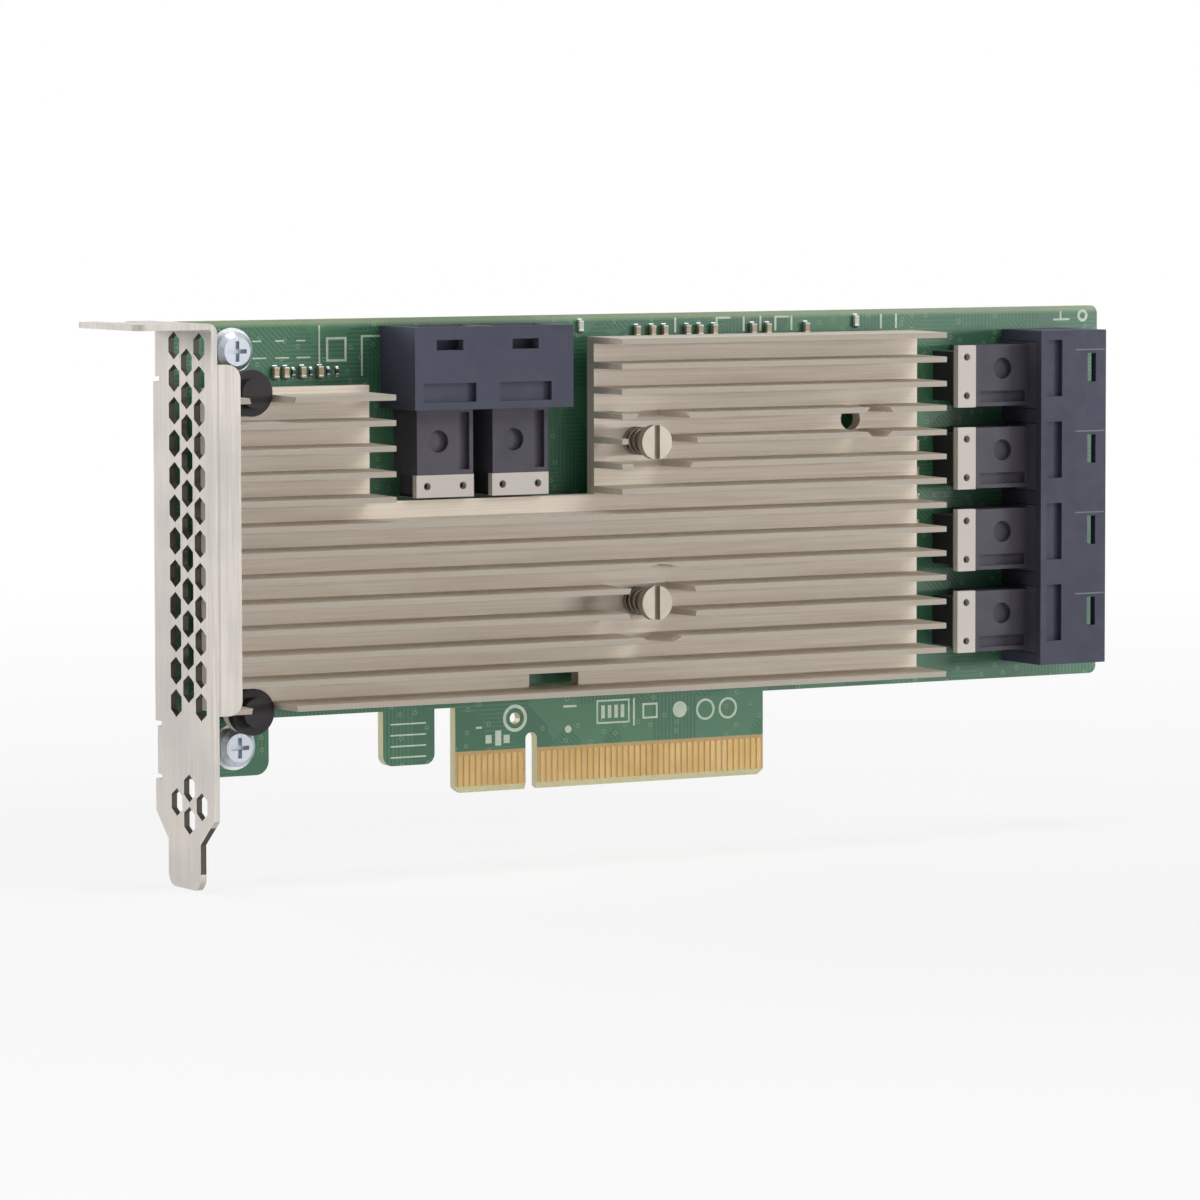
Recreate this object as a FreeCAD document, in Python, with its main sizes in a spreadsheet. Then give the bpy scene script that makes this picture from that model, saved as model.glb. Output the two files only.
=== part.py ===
"""Raid controller card: a low-profile expansion card with six internal drive ports.

The board stands on its edge contacts. X runs along the board from the key notch towards the free
end, Y points to the solder side and Z points up. The origin is at the centre of the key notch, on
the lowest edge of the contact tab, in the middle of the board's thickness.
A height over the board is counted from its middle plane towards the component side, so it is -Y.
"""

import FreeCAD, Part
import Sketcher
import math
import os
import re

SIZES = {
    # board
    "board_length": 157.3,
    "board_height": 68.9,
    "board_thick": 1.57,
    "board_left": 57.6,
    "board_corner": 1.2,
    "foot_line": 12.45,
    "tab_front": 12.6,
    "tab_rear": 39.6,
    "tab_bevel": 0.9,
    "tab_bevel_depth": 0.33,
    "tab_corner": 0.8,
    "key_width": 1.9,
    "key_depth": 8.25,
    "key_land": 0.05,
    "hook_gap": 3.4,
    "hook_width": 8.4,
    "hook_bottom": 4.5,
    "hook_round": 1.5,
    "foot_width": 14.8,
    "foot_bottom": 4.4,
    "foot_round": 2.0,
    "tooling_hole": 0.85,
    "tooling_x": 2.7,
    "tooling_z": 10.45,
    # edge contacts
    "contact_pitch": 1.0,
    "contact_width": 0.7,
    "contact_low": 0.9,
    "contact_top": 5.5,
    "contact_thick": 0.05,
    "contact_front_count": 11,
    "contact_rear_count": 38,
    "contact_margin": 0.55,
    # bracket
    "bracket_height": 79.2,
    "bracket_width": 18.42,
    "bracket_face": 59.05,
    "bracket_back": 2.32,
    "bracket_top": 69.0,
    "sheet_thick": 0.86,
    "bend_inside": 0.4,
    "flange_depth": 11.43,
    "flange_corner": 1.6,
    "flange_slot": 4.42,
    "flange_slot_place": 6.35,
    "flange_slot_reach": 5.6,
    "tongue_width": 10.19,
    "tongue_top": 3.65,
    "tongue_round": 2.0,
    "tongue_centre": 6.65,
    "tongue_neck": 1.8,
    "rim_width": 4.45,
    "rim_bottom": 14.6,
    "rim_top": 63.3,
    "rim_round": 2.0,
    "vent_across": 3.4,
    "vent_pitch": 4.55,
    "vent_low": 15.65,
    "vent_rows": 12,
    "vent_first": 3.55,
    "vent_columns": 3,
    "tongue_vent_z": 14.2,
    "lug_height": 6.8,
    "lug_reach": 14.2,
    "lug_round": 2.0,
    "lug_relief": 0.7,
    # bracket screws
    "screw_x": 48.3,
    "screw_low": 8.6,
    "screw_high": 64.6,
    "screw_radius": 1.5,
    "screw_head": 2.75,
    "screw_head_tall": 1.9,
    "screw_head_round": 0.7,
    "screw_tip": 1.2,
    "screw_tip_bevel": 0.3,
    "screw_play": 0.1,
    "recess_width": 0.6,
    "recess_length": 2.9,
    "recess_depth": 1.0,
    # heat sink
    "sink_left": 54.9,
    "sink_right": 63.4,
    "sink_bottom": 14.4,
    "sink_gap": 3.3,
    "sink_base": 2.0,
    "fin_tall": 8.1,
    "fin_thick": 1.0,
    "fin_pitch": 3.6,
    "fin_count": 15,
    "fin_root": 0.2,
    "fin_draft": 0.1,
    "step_top": 59.6,
    "bay_left": 29.2,
    "bay_right": 7.6,
    "bay_floor": 43.0,
    "window_left": 3.3,
    "window_width": 8.2,
    "spot_radius": 5.8,
    "bench_hole": 1.7,
    "bench_spot": 2.6,
    "bench_x": 51.6,
    "bench_z": 52.9,
    # spring pins that press the heat sink on the controller
    "pin_x": 14.4,
    "pin_low": 27.3,
    "pin_high": 50.6,
    "pin_radius": 1.35,
    "pin_play": 0.15,
    "pin_head": 2.5,
    "pin_head_tall": 1.3,
    "pin_standing": 5.2,
    "pin_barb": 1.95,
    "pin_barb_tall": 2.2,
    "pin_tip": 0.7,
    "pin_slit": 0.6,
    "pin_slot": 0.9,
    "pin_slot_depth": 0.7,
    "spring_wire": 0.55,
    "spring_turns": 2.5,
    "spring_play": 0.15,
    # corner rivets
    "rivet_x": 48.6,
    "rivet_low": 14.1,
    "rivet_high": 58.9,
    "rivet_head": 3.3,
    "rivet_head_tall": 1.5,
    "rivet_cap": 2.1,
    "rivet_cap_tall": 1.3,
    "rivet_radius": 1.55,
    "rivet_play": 0.1,
    "rivet_point": 0.95,
    "rivet_tip": 1.95,
    "rivet_tip_tall": 1.6,
    "rivet_ear": 3.1,
    "rivet_spot": 3.6,
    # controller package and thermal pad
    "chip_x": 5.0,
    "chip_z": 29.0,
    "chip_side": 27.0,
    "chip_thick": 1.3,
    "lid_side": 21.0,
    "lid_tall": 1.4,
    "lid_round": 1.0,
    # drive ports
    "port_pitch": 12.3,
    "port_side_wall": 0.6,
    "port_tall": 10.5,
    "port_shell": 11.8,
    "socket_width": 10.2,
    "socket_tall": 8.0,
    "socket_floor": 1.3,
    "socket_lead_in": 0.5,
    "latch_width": 4.3,
    "latch_length": 1.5,
    "latch_place": 2.6,
    "latch_offset": 1.1,
    "panel_width": 8.5,
    "panel_length": 2.7,
    "panel_place": 8.0,
    "panel_depth": 0.8,
    "peg_radius": 0.8,
    "peg_length": 2.0,
    "peg_place": 3.0,
    "peg_play": 0.05,
    "body_width": 9.1,
    "body_tall": 6.9,
    "body_length": 9.4,
    "body_groove": 1.7,
    "body_groove_depth": 0.8,
    "body_dimple": 1.6,
    "body_dimple_place": 4.6,
    "body_fit": 0.1,
    "body_groove_edge": 0.6,
    "body_groove_rear": 0.7,
    "body_groove_front": 0.5,
    "collar_length": 1.6,
    "nose_width": 7.8,
    "nose_tall": 5.8,
    "nose_recess": 4.7,
    "card_slot_tall": 1.1,
    "card_slot_width": 7.1,
    "card_slot_depth": 4.2,
    "card_slot_pitch": 2.9,
    "blade_width": 0.36,
    "blade_pitch": 0.75,
    "blade_count": 9,
    "blade_thick": 0.2,
    "blade_length": 3.4,
    "organizer_length": 3.2,
    "organizer_width": 9.3,
    "organizer_thick": 1.2,
    "organizer_hole": 0.55,
    "organizer_wall": 0.4,
    "organizer_hole_place": 2.9,
    "tail_block_width": 7.4,
    "top_port_x": 11.7,
    "top_port_mouth": 67.8,
    "side_port_mouth": 94.1,
    "side_port_z": 40.35,
    # small parts on the board
    "capacitor_length": 1.6,
    "capacitor_width": 0.8,
    "capacitor_tall": 0.8,
    "resistor_length": 1.0,
    "resistor_width": 0.5,
    "resistor_tall": 0.35,
    "lamp_length": 1.6,
    "lamp_width": 0.8,
    "lamp_tall": 0.6,
    "coil_x": 34.0,
    "coil_z": 22.0,
    "coil_side": 6.4,
    "coil_pitch": 9.0,
    "coil_count": 3,
    "coil_tall": 2.8,
    "coil_corner": 1.2,
    "regulator_rise": 10.0,
    "regulator_side": 5.0,
    "regulator_tall": 0.9,
    "coupler_length": 1.0,
    "coupler_width": 0.5,
    "coupler_tall": 0.5,
    "coupler_rise": 3.1,
    "top_row_drop": 2.6,
    "lamp_drop": 1.7,
    "step_row_rise": 1.8,
    "side_row_gap": 3.0,
    "flash_x": 40.0,
    "flash_z": 25.0,
    "settings_x": 38.0,
    "settings_z": 40.0,
    "sense_x": 26.0,
    "sense_z": 20.0,
    "memory_length": 4.9,
    "memory_width": 3.9,
    "memory_tall": 1.5,
    "memory_stand": 0.15,
    "lead_width": 0.42,
    "lead_pitch": 1.27,
    "lead_count": 4,
    "lead_reach": 1.05,
    "lead_thick": 0.2,
    "crystal_x": 30.0,
    "crystal_z": 33.0,
    "crystal_length": 3.2,
    "crystal_width": 2.5,
    "crystal_tall": 0.8,
}

doc = FreeCAD.newDocument("raid_controller_card")
sheet = doc.addObject("Spreadsheet::Sheet", "Sizes")
for row, (alias, number) in enumerate(SIZES.items(), start=1):
    sheet.set(f"A{row}", alias)
    sheet.set(f"B{row}", str(number))
    sheet.setAlias(f"B{row}", alias)
doc.recompute()

MIDDLE = FreeCAD.Vector(0, 0, 0)
NEAR = 1e-4
parts = []


def cells(text):
    """The expression with each named size pointing at its cell of the sheet."""
    return re.sub(r"[a-z_]+[a-z0-9_]*", lambda word: cell_of(word.group()), str(text))


def cell_of(word):
    return f"Sizes.{word}" if word in SIZES else word


def value(text):
    """The number that an expression of named sizes has now."""
    return float(sheet.evalExpression(cells(text)))


def bind(thing, prop, text):
    thing.setExpression(prop, cells(text))


def new_body(label, place=None, turn=None):
    body = doc.addObject("PartDesign::Body", label)
    body.Label = label
    if turn is not None:
        body.Placement = FreeCAD.Placement(MIDDLE, turn)
    for axis, text in zip("xyz", place or ()):
        bind(body, f"Placement.Base.{axis}", text)
    parts.append(body)
    return body


def origin_item(body, role):
    return next(item for item in body.Origin.OriginFeatures if item.Role == role)


def new_sketch(body, plane, name, level="0"):
    sketch = body.newObject("Sketcher::SketchObject", name)
    sketch.AttachmentSupport = [(origin_item(body, plane + "_Plane"), "")]
    sketch.MapMode = "FlatFace"
    bind(sketch, "AttachmentOffset.Base.z", level)
    return sketch


def fix(sketch, kind, geometry, point, text):
    """Holds one coordinate of a point of the sketch at an expression."""
    start = cells(text)
    index = sketch.addConstraint(Sketcher.Constraint(kind, -1, 1, geometry, point, value(text)))
    sketch.setExpression(f"Constraints[{index}]", start)


def draw_outline(sketch, corners):
    """A closed outline of straight edges, each corner held by two expressions."""
    points = [FreeCAD.Vector(value(x), value(y), 0) for x, y in corners]
    first = sketch.GeometryCount
    for start, end in zip(points, points[1:] + points[:1]):
        sketch.addGeometry(Part.LineSegment(start, end), False)
    for step, (x, y) in enumerate(corners):
        before = first + (step - 1) % len(corners)
        sketch.addConstraint(Sketcher.Constraint("Coincident", before, 2, first + step, 1))
        fix(sketch, "DistanceX", first + step, 1, x)
        fix(sketch, "DistanceY", first + step, 1, y)


def draw_box(sketch, left, right, low, high):
    draw_outline(sketch, [(left, low), (right, low), (right, high), (left, high)])


def draw_circle(sketch, x, y, radius):
    circle = Part.Circle(FreeCAD.Vector(value(x), value(y), 0), FreeCAD.Vector(0, 0, 1), value(radius))
    index = sketch.addGeometry(circle, False)
    fix(sketch, "DistanceX", index, 3, x)
    fix(sketch, "DistanceY", index, 3, y)
    bound = sketch.addConstraint(Sketcher.Constraint("Radius", index, value(radius)))
    bind(sketch, f"Constraints[{bound}]", radius)


def pad(body, sketch, length, name):
    feature = body.newObject("PartDesign::Pad", name)
    feature.Profile = sketch
    bind(feature, "Length", length)
    body.Tip = feature
    doc.recompute()
    return feature


def pocket(body, sketch, name, depth=None, reverse=False):
    """Cuts to a depth against the sketch's normal, or right through both ways."""
    before = body.Shape.Volume
    feature = body.newObject("PartDesign::Pocket", name)
    feature.Profile = sketch
    if depth is None:
        feature.Type = "ThroughAll"
        feature.Midplane = True
    else:
        bind(feature, "Length", depth)
        feature.Reversed = reverse
    body.Tip = feature
    doc.recompute()
    if body.Shape.Volume >= before:
        raise ValueError(f"{body.Label}: {name} cuts nothing")
    return feature


def revolve(body, sketch, name, axis="Z_Axis"):
    feature = body.newObject("PartDesign::Revolution", name)
    feature.Profile = sketch
    feature.ReferenceAxis = (origin_item(body, axis), [""])
    feature.Angle = 360
    body.Tip = feature
    doc.recompute()
    return feature


def repeat(body, features, axis, pitch, count, name, reverse=False):
    feature = body.newObject("PartDesign::LinearPattern", name)
    feature.Originals = features
    feature.Direction = (origin_item(body, axis), [""])
    feature.Mode = "Spacing"
    bind(feature, "Offset", pitch)
    bind(feature, "Occurrences", count)
    feature.Reversed = reverse
    body.Tip = feature
    doc.recompute()
    return feature


def edges_where(body, test):
    """Names of the body's edges whose middle point and direction pass the test."""
    names = []
    for number, edge in enumerate(body.Tip.Shape.Edges, start=1):
        middle = edge.valueAt((edge.FirstParameter + edge.LastParameter) / 2)
        along = edge.Vertexes[-1].Point - edge.Vertexes[0].Point
        if test(middle, along):
            names.append(f"Edge{number}")
    return names


def straight_along(axis, along):
    """True for a direction along one axis only."""
    others = [number for number in range(3) if number != axis]
    return abs(along[axis]) > NEAR and all(abs(along[number]) < NEAR for number in others)


def dress(body, kind, names, sizes, feature_name):
    """A fillet or chamfer on named edges of the body's last feature."""
    if not names:
        raise ValueError(f"{body.Label}: no edge for {feature_name}")
    base = body.Tip
    feature = body.newObject(f"PartDesign::{kind}", feature_name)
    feature.Base = (base, names)
    for prop, text in sizes.items():
        if prop == "ChamferType":
            feature.ChamferType = text
        else:
            bind(feature, prop, text)
    body.Tip = feature
    doc.recompute()
    return feature


def round_edges(body, axis, places, radius, name, kind="Fillet"):
    """Rounds or bevels edges that run along an axis through the given places of the other two."""
    across = [number for number in range(3) if number != axis]
    wanted = [tuple(value(text) for text in place) for place in places]

    def near(middle, along):
        if not straight_along(axis, along):
            return False
        here = tuple(middle[number] for number in across)
        return any(math.dist(here, place) < NEAR for place in wanted)

    size = "Radius" if kind == "Fillet" else "Size"
    dress(body, kind, edges_where(body, near), {size: radius}, name)


# --- board ------------------------------------------------------------------------------------

BOARD_FRONT = "board_thick / 2"
BOARD_RIGHT = "(board_length - board_left)"
HOOK_RIGHT = "(-tab_front - hook_gap)"
HOOK_LEFT = "(-tab_front - hook_gap - hook_width)"
FOOT_RIGHT = "(-board_left + foot_width)"
SINK_SEAT = "(board_thick / 2 + sink_gap)"


def build_board():
    body = new_body("circuit_board")
    outline = new_sketch(body, "XZ", "BoardOutline", "-board_thick / 2")
    draw_outline(outline, [
        ("-board_left", "board_height"),
        (BOARD_RIGHT, "board_height"),
        (BOARD_RIGHT, "foot_line"),
        ("tab_rear", "foot_line"),
        ("tab_rear", "0"),
        ("key_width / 2", "0"),
        ("key_width / 2", "key_depth"),
        ("-key_width / 2", "key_depth"),
        ("-key_width / 2", "0"),
        ("-tab_front", "0"),
        ("-tab_front", "foot_line"),
        (HOOK_RIGHT, "foot_line"),
        (HOOK_RIGHT, "hook_bottom"),
        (HOOK_LEFT, "hook_bottom"),
        (HOOK_LEFT, "foot_line"),
        (FOOT_RIGHT, "foot_line"),
        (FOOT_RIGHT, "foot_bottom"),
        ("-board_left", "foot_bottom"),
    ])
    pad(body, outline, "board_thick", "Board")
    hooks = [(HOOK_RIGHT, "hook_bottom"), (HOOK_LEFT, "hook_bottom")]
    round_edges(body, 1, hooks, "hook_round", "HookCorners")
    round_edges(body, 1, [(FOOT_RIGHT, "foot_bottom")], "foot_round", "FootCorner")
    corners = [("-board_left", "board_height"), (BOARD_RIGHT, "board_height"), (BOARD_RIGHT, "foot_line")]
    round_edges(body, 1, corners, "board_corner", "BoardCorners")
    key = [("key_width / 2", "key_depth"), ("-key_width / 2", "key_depth")]
    round_edges(body, 1, key, "key_width / 2 - key_land", "KeyRound")
    tab_ends = [("-tab_front", "0"), ("tab_rear", "0")]
    round_edges(body, 1, tab_ends, "tab_corner", "TabCorners", "Chamfer")
    bottom = edges_where(body, lambda middle, along: straight_along(0, along) and abs(middle.z) < NEAR)
    bevel = {"ChamferType": "Two distances", "Size": "tab_bevel_depth", "Size2": "tab_bevel"}
    dress(body, "Chamfer", bottom, bevel, "TabBevel")

    holes = new_sketch(body, "XZ", "BoardHoles")
    draw_circle(holes, "-tooling_x", "tooling_z", "tooling_hole")
    for z in ("screw_low", "screw_high"):
        draw_circle(holes, "-screw_x", z, "screw_radius + screw_play")
    for z in ("rivet_low", "rivet_high"):
        draw_circle(holes, "-rivet_x", z, "rivet_radius + rivet_play")
    for z in ("pin_low", "pin_high"):
        draw_circle(holes, "pin_x", z, "pin_radius + pin_play")
    for x, z in peg_places("top_port", 2) + peg_places("side_port", 4):
        draw_circle(holes, x, z, "peg_radius + peg_play")
    pocket(body, holes, "Holes")


def peg_places(port, count):
    """Board coordinates of the two pegs under a row of ports."""
    reach = f"({count} * port_pitch / 2 - peg_place)"
    if port == "top_port":
        z = "top_port_mouth - port_shell / 2"
        return [(f"-top_port_x - {reach}", z), (f"-top_port_x + {reach}", z)]
    x = "side_port_mouth - port_shell / 2"
    return [(x, f"side_port_z - {reach}"), (x, f"side_port_z + {reach}")]


def build_edge_contacts(label, side):
    """Gold contacts on one face of the tab: side is 1 on the component side, -1 behind."""
    body = new_body(label)
    level = BOARD_FRONT if side > 0 else "-board_thick / 2 - contact_thick"
    first = "key_width / 2 + contact_margin"
    runs = (("Rear", first, "contact_rear_count", False), ("Front", first, "contact_front_count", True))
    for name, start, count, reverse in runs:
        sign = "-" if reverse else ""
        near = f"{sign}({start})"
        far = f"{sign}({start} + contact_width)"
        sketch = new_sketch(body, "XZ", f"{name}Contact", level)
        left, right = (far, near) if reverse else (near, far)
        draw_box(sketch, left, right, "contact_low", "contact_top")
        one = pad(body, sketch, "contact_thick", f"{name}ContactPad")
        one.Refine = False
        repeat(body, [one], "X_Axis", "contact_pitch", count, f"{name}Contacts", reverse)


# --- bracket ----------------------------------------------------------------------------------

FACE = "(-bracket_face)"
INNER = "(-bracket_face + sheet_thick)"
BACK = "bracket_back"
FRONT = "(bracket_back - bracket_width)"
BOTTOM = "(bracket_top - bracket_height)"
LUG_FACE = "(board_thick / 2)"
TONGUE_LEFT = "(-tongue_centre + tongue_width / 2)"
TONGUE_RIGHT = "(-tongue_centre - tongue_width / 2)"


def draw_bend(sketch, run_a, corner, run_b, thick, inside):
    """An L section of sheet with a rounded bend.

    run_a and run_b are the ends of the outer edges and corner is where these edges would meet. The
    sheet lies on the left of the way from run_a over corner to run_b.
    """
    outside = value(f"{thick} + {inside}")
    within = value(inside)
    a = FreeCAD.Vector(*(value(text) for text in run_a), 0)
    c = FreeCAD.Vector(*(value(text) for text in corner), 0)
    b = FreeCAD.Vector(*(value(text) for text in run_b), 0)
    to_a = (a - c).normalize()
    to_b = (b - c).normalize()
    centre = c + (to_a + to_b) * outside
    sheet_a = to_b * value(thick)
    sheet_b = to_a * value(thick)
    knee = 1 / math.sqrt(2)
    towards_corner = (to_a + to_b) * -knee
    outer = [centre - to_b * outside, centre + towards_corner * outside, centre - to_a * outside]
    inner = [centre - to_a * within, centre + towards_corner * within, centre - to_b * within]
    curves = [
        Part.LineSegment(a, outer[0]),
        Part.Arc(*outer),
        Part.LineSegment(outer[2], b),
        Part.LineSegment(b, b + sheet_b),
        Part.LineSegment(b + sheet_b, inner[0]),
        Part.Arc(*inner),
        Part.LineSegment(inner[2], a + sheet_a),
        Part.LineSegment(a + sheet_a, a),
    ]
    for curve in curves:
        sketch.addGeometry(curve, False)


def build_bracket():
    body = new_body("io_bracket")
    flange_end = ("-bracket_face - flange_depth", "bracket_top")
    corner = ("-bracket_face + sheet_thick", "bracket_top")
    section = new_sketch(body, "XZ", "PlateSection", "-bracket_back")
    plate_end = ("-bracket_face + sheet_thick", BOTTOM)
    draw_bend(section, flange_end, corner, plate_end, "sheet_thick", "bend_inside")
    pad(body, section, "bracket_width", "Plate")

    rim = new_sketch(body, "XY", "RimSection", "rim_bottom")
    rim_corner = (FACE, FRONT)
    rim_end = ("-bracket_face + rim_width", FRONT)
    draw_bend(rim, rim_end, rim_corner, (FACE, TONGUE_RIGHT), "sheet_thick", "bend_inside")
    pad(body, rim, "rim_top - rim_bottom", "Rim")

    for name, centre in (("Low", "screw_low"), ("High", "screw_high")):
        lug = new_sketch(body, "XY", f"{name}LugSection", f"{centre} - lug_height / 2")
        lug_corner = (FACE, "board_thick / 2 + sheet_thick")
        lug_end = ("-bracket_face + lug_reach", "board_thick / 2 + sheet_thick")
        draw_bend(lug, (FACE, TONGUE_LEFT), lug_corner, lug_end, "sheet_thick", "bend_inside")
        pad(body, lug, "lug_height", f"{name}Lug")

    trim_bracket(body)
    cut_bracket_holes(body)
    lug_tips = [
        ("-bracket_face + lug_reach", f"{centre} {sign} lug_height / 2")
        for centre in ("screw_low", "screw_high") for sign in "+-"
    ]
    round_edges(body, 1, lug_tips, "lug_round", "LugCorners")
    rim_tips = [("-bracket_face + rim_width", "rim_bottom"), ("-bracket_face + rim_width", "rim_top")]
    round_edges(body, 1, rim_tips, "rim_round", "RimCorners")
    end = value(BOTTOM)
    tips = edges_where(body, lambda middle, along: straight_along(0, along) and abs(middle.z - end) < NEAR)
    dress(body, "Fillet", tips, {"Radius": "tongue_round"}, "TongueCorners")
    flange_tips = [("-bracket_face - flange_depth", FRONT)]
    round_edges(body, 2, flange_tips, "flange_corner", "FlangeCorner")


def trim_bracket(body):
    """Cuts the plate to its outline: the lug bends, the tapers and the tongue."""
    waist_low = "screw_low - lug_height / 2 - lug_relief"
    waist_high = "screw_low + lug_height / 2 + lug_relief"
    top_low = "screw_high - lug_height / 2 - lug_relief"
    beside_lug = "board_thick / 2 + sheet_thick"
    out = f"({BACK} + sheet_thick)"
    beyond = f"({FRONT} - sheet_thick)"
    below = f"({BOTTOM} - sheet_thick)"
    sides = new_sketch(body, "YZ", "PlateTrim")
    draw_outline(sides, [
        (out, f"{waist_low} - tongue_neck"),
        (BACK, f"{waist_low} - tongue_neck"),
        (BACK, "0"),
        (TONGUE_LEFT, "-tongue_top"),
        (TONGUE_LEFT, below),
        (out, below),
    ])
    draw_outline(sides, [
        (beyond, "0"),
        (FRONT, "0"),
        (TONGUE_RIGHT, "-tongue_top"),
        (TONGUE_RIGHT, below),
        (beyond, below),
    ])
    draw_box(sides, beside_lug, out, waist_low, waist_high)
    draw_box(sides, beside_lug, out, top_low, "bracket_top - sheet_thick - bend_inside")
    pocket(body, sides, "Trim")

    reliefs = new_sketch(body, "YZ", "LugReliefs")
    lug_root = "(board_thick / 2 - bend_inside)"
    for low in (waist_low, "screw_low + lug_height / 2", top_low):
        draw_box(reliefs, lug_root, out, low, f"{low} + lug_relief")
    pocket(body, reliefs, "Reliefs")


def draw_hexagon(sketch, y, z, across):
    """A hexagon with a corner at the top and one at the bottom."""
    half = f"({across} / 2)"
    point = f"({across} / sqrt(3))"
    draw_outline(sketch, [
        (f"{y} + {half}", f"{z} - {point} / 2"),
        (f"{y} + {half}", f"{z} + {point} / 2"),
        (y, f"{z} + {point}"),
        (f"{y} - {half}", f"{z} + {point} / 2"),
        (f"{y} - {half}", f"{z} - {point} / 2"),
        (y, f"{z} - {point}"),
    ])


VENT_COLUMN = "(vent_pitch * sqrt(3) / 2)"


def cut_bracket_holes(body):
    first = "(board_thick / 2 + vent_first)"
    for parity, name in enumerate(("Outer", "Middle")):
        vents = new_sketch(body, "YZ", f"{name}Vents")
        for column in range(parity, SIZES["vent_columns"], 2):
            y = f"(-{first} - {column} * {VENT_COLUMN})"
            draw_hexagon(vents, y, f"(vent_low + {parity} * vent_pitch / 2)", "vent_across")
        one = pocket(body, vents, f"{name}VentRow")
        repeat(body, [one], "Z_Axis", "vent_pitch", f"vent_rows - {parity}", f"{name}VentRows")

    tongue = new_sketch(body, "YZ", "TongueVents")
    centre = f"(-{first} - {VENT_COLUMN})"
    for side, up in ((0, 0), (0, -1), (1, -0.5), (-1, -0.5)):
        y = f"({centre} + {side} * {VENT_COLUMN})"
        draw_hexagon(tongue, y, f"({BOTTOM} + tongue_vent_z + {up} * vent_pitch)", "vent_across")
    pocket(body, tongue, "TongueVentCuts")

    taps = new_sketch(body, "XZ", "LugTaps")
    for z in ("screw_low", "screw_high"):
        draw_circle(taps, "-screw_x", z, "screw_radius")
    pocket(body, taps, "Taps")

    slot = new_sketch(body, "XY", "FlangeSlot")
    middle = "(-bracket_face - flange_slot_place)"
    round_y = "(bracket_back - flange_slot_reach + flange_slot / 2)"
    draw_box(slot, f"{middle} - flange_slot / 2", f"{middle} + flange_slot / 2", round_y, BACK)
    pocket(body, slot, "SlotSides")
    end = new_sketch(body, "XY", "FlangeSlotEnd")
    draw_circle(end, middle, round_y, "flange_slot / 2")
    pocket(body, end, "SlotEnd")


def build_bracket_screws():
    """Two pan-head screws that run from the component side into the bracket's lugs."""
    body = new_body("bracket_screws", ("-screw_x", "-board_thick / 2", "screw_low"), TO_FRONT)
    profile = new_sketch(body, "XZ", "ScrewProfile")
    tip = "-board_thick - sheet_thick - screw_tip"
    draw_outline(profile, [
        ("0", tip),
        ("screw_radius - screw_tip_bevel", tip),
        ("screw_radius", f"{tip} + screw_tip_bevel"),
        ("screw_radius", "0"),
        ("screw_head", "0"),
        ("screw_head", "screw_head_tall - screw_head_round"),
        ("screw_head - screw_head_round", "screw_head_tall"),
        ("0", "screw_head_tall"),
    ])
    screw = revolve(body, profile, "Screw")
    recess = new_sketch(body, "XY", "DriveRecess", "screw_head_tall")
    draw_box(recess, "-recess_length / 2", "recess_length / 2", "-recess_width / 2", "recess_width / 2")
    across = pocket(body, recess, "RecessAcross", "recess_depth")
    second = new_sketch(body, "XY", "DriveRecessUp", "screw_head_tall")
    draw_box(second, "-recess_width / 2", "recess_width / 2", "-recess_length / 2", "recess_length / 2")
    upright = pocket(body, second, "RecessUpright", "recess_depth")
    repeat(body, [screw, across, upright], "Y_Axis", "screw_high - screw_low", "2", "Screws")


# A body turned so that its own Z points out of the component side and its own Y points up.
TO_FRONT = FreeCAD.Rotation(FreeCAD.Vector(1, 0, 0), 90)

# --- heat sink --------------------------------------------------------------------------------

SINK_TOP = "(sink_bottom + (fin_count - 1) * fin_pitch + fin_thick)"
BASE_FRONT = "(board_thick / 2 + sink_gap + sink_base)"


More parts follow.
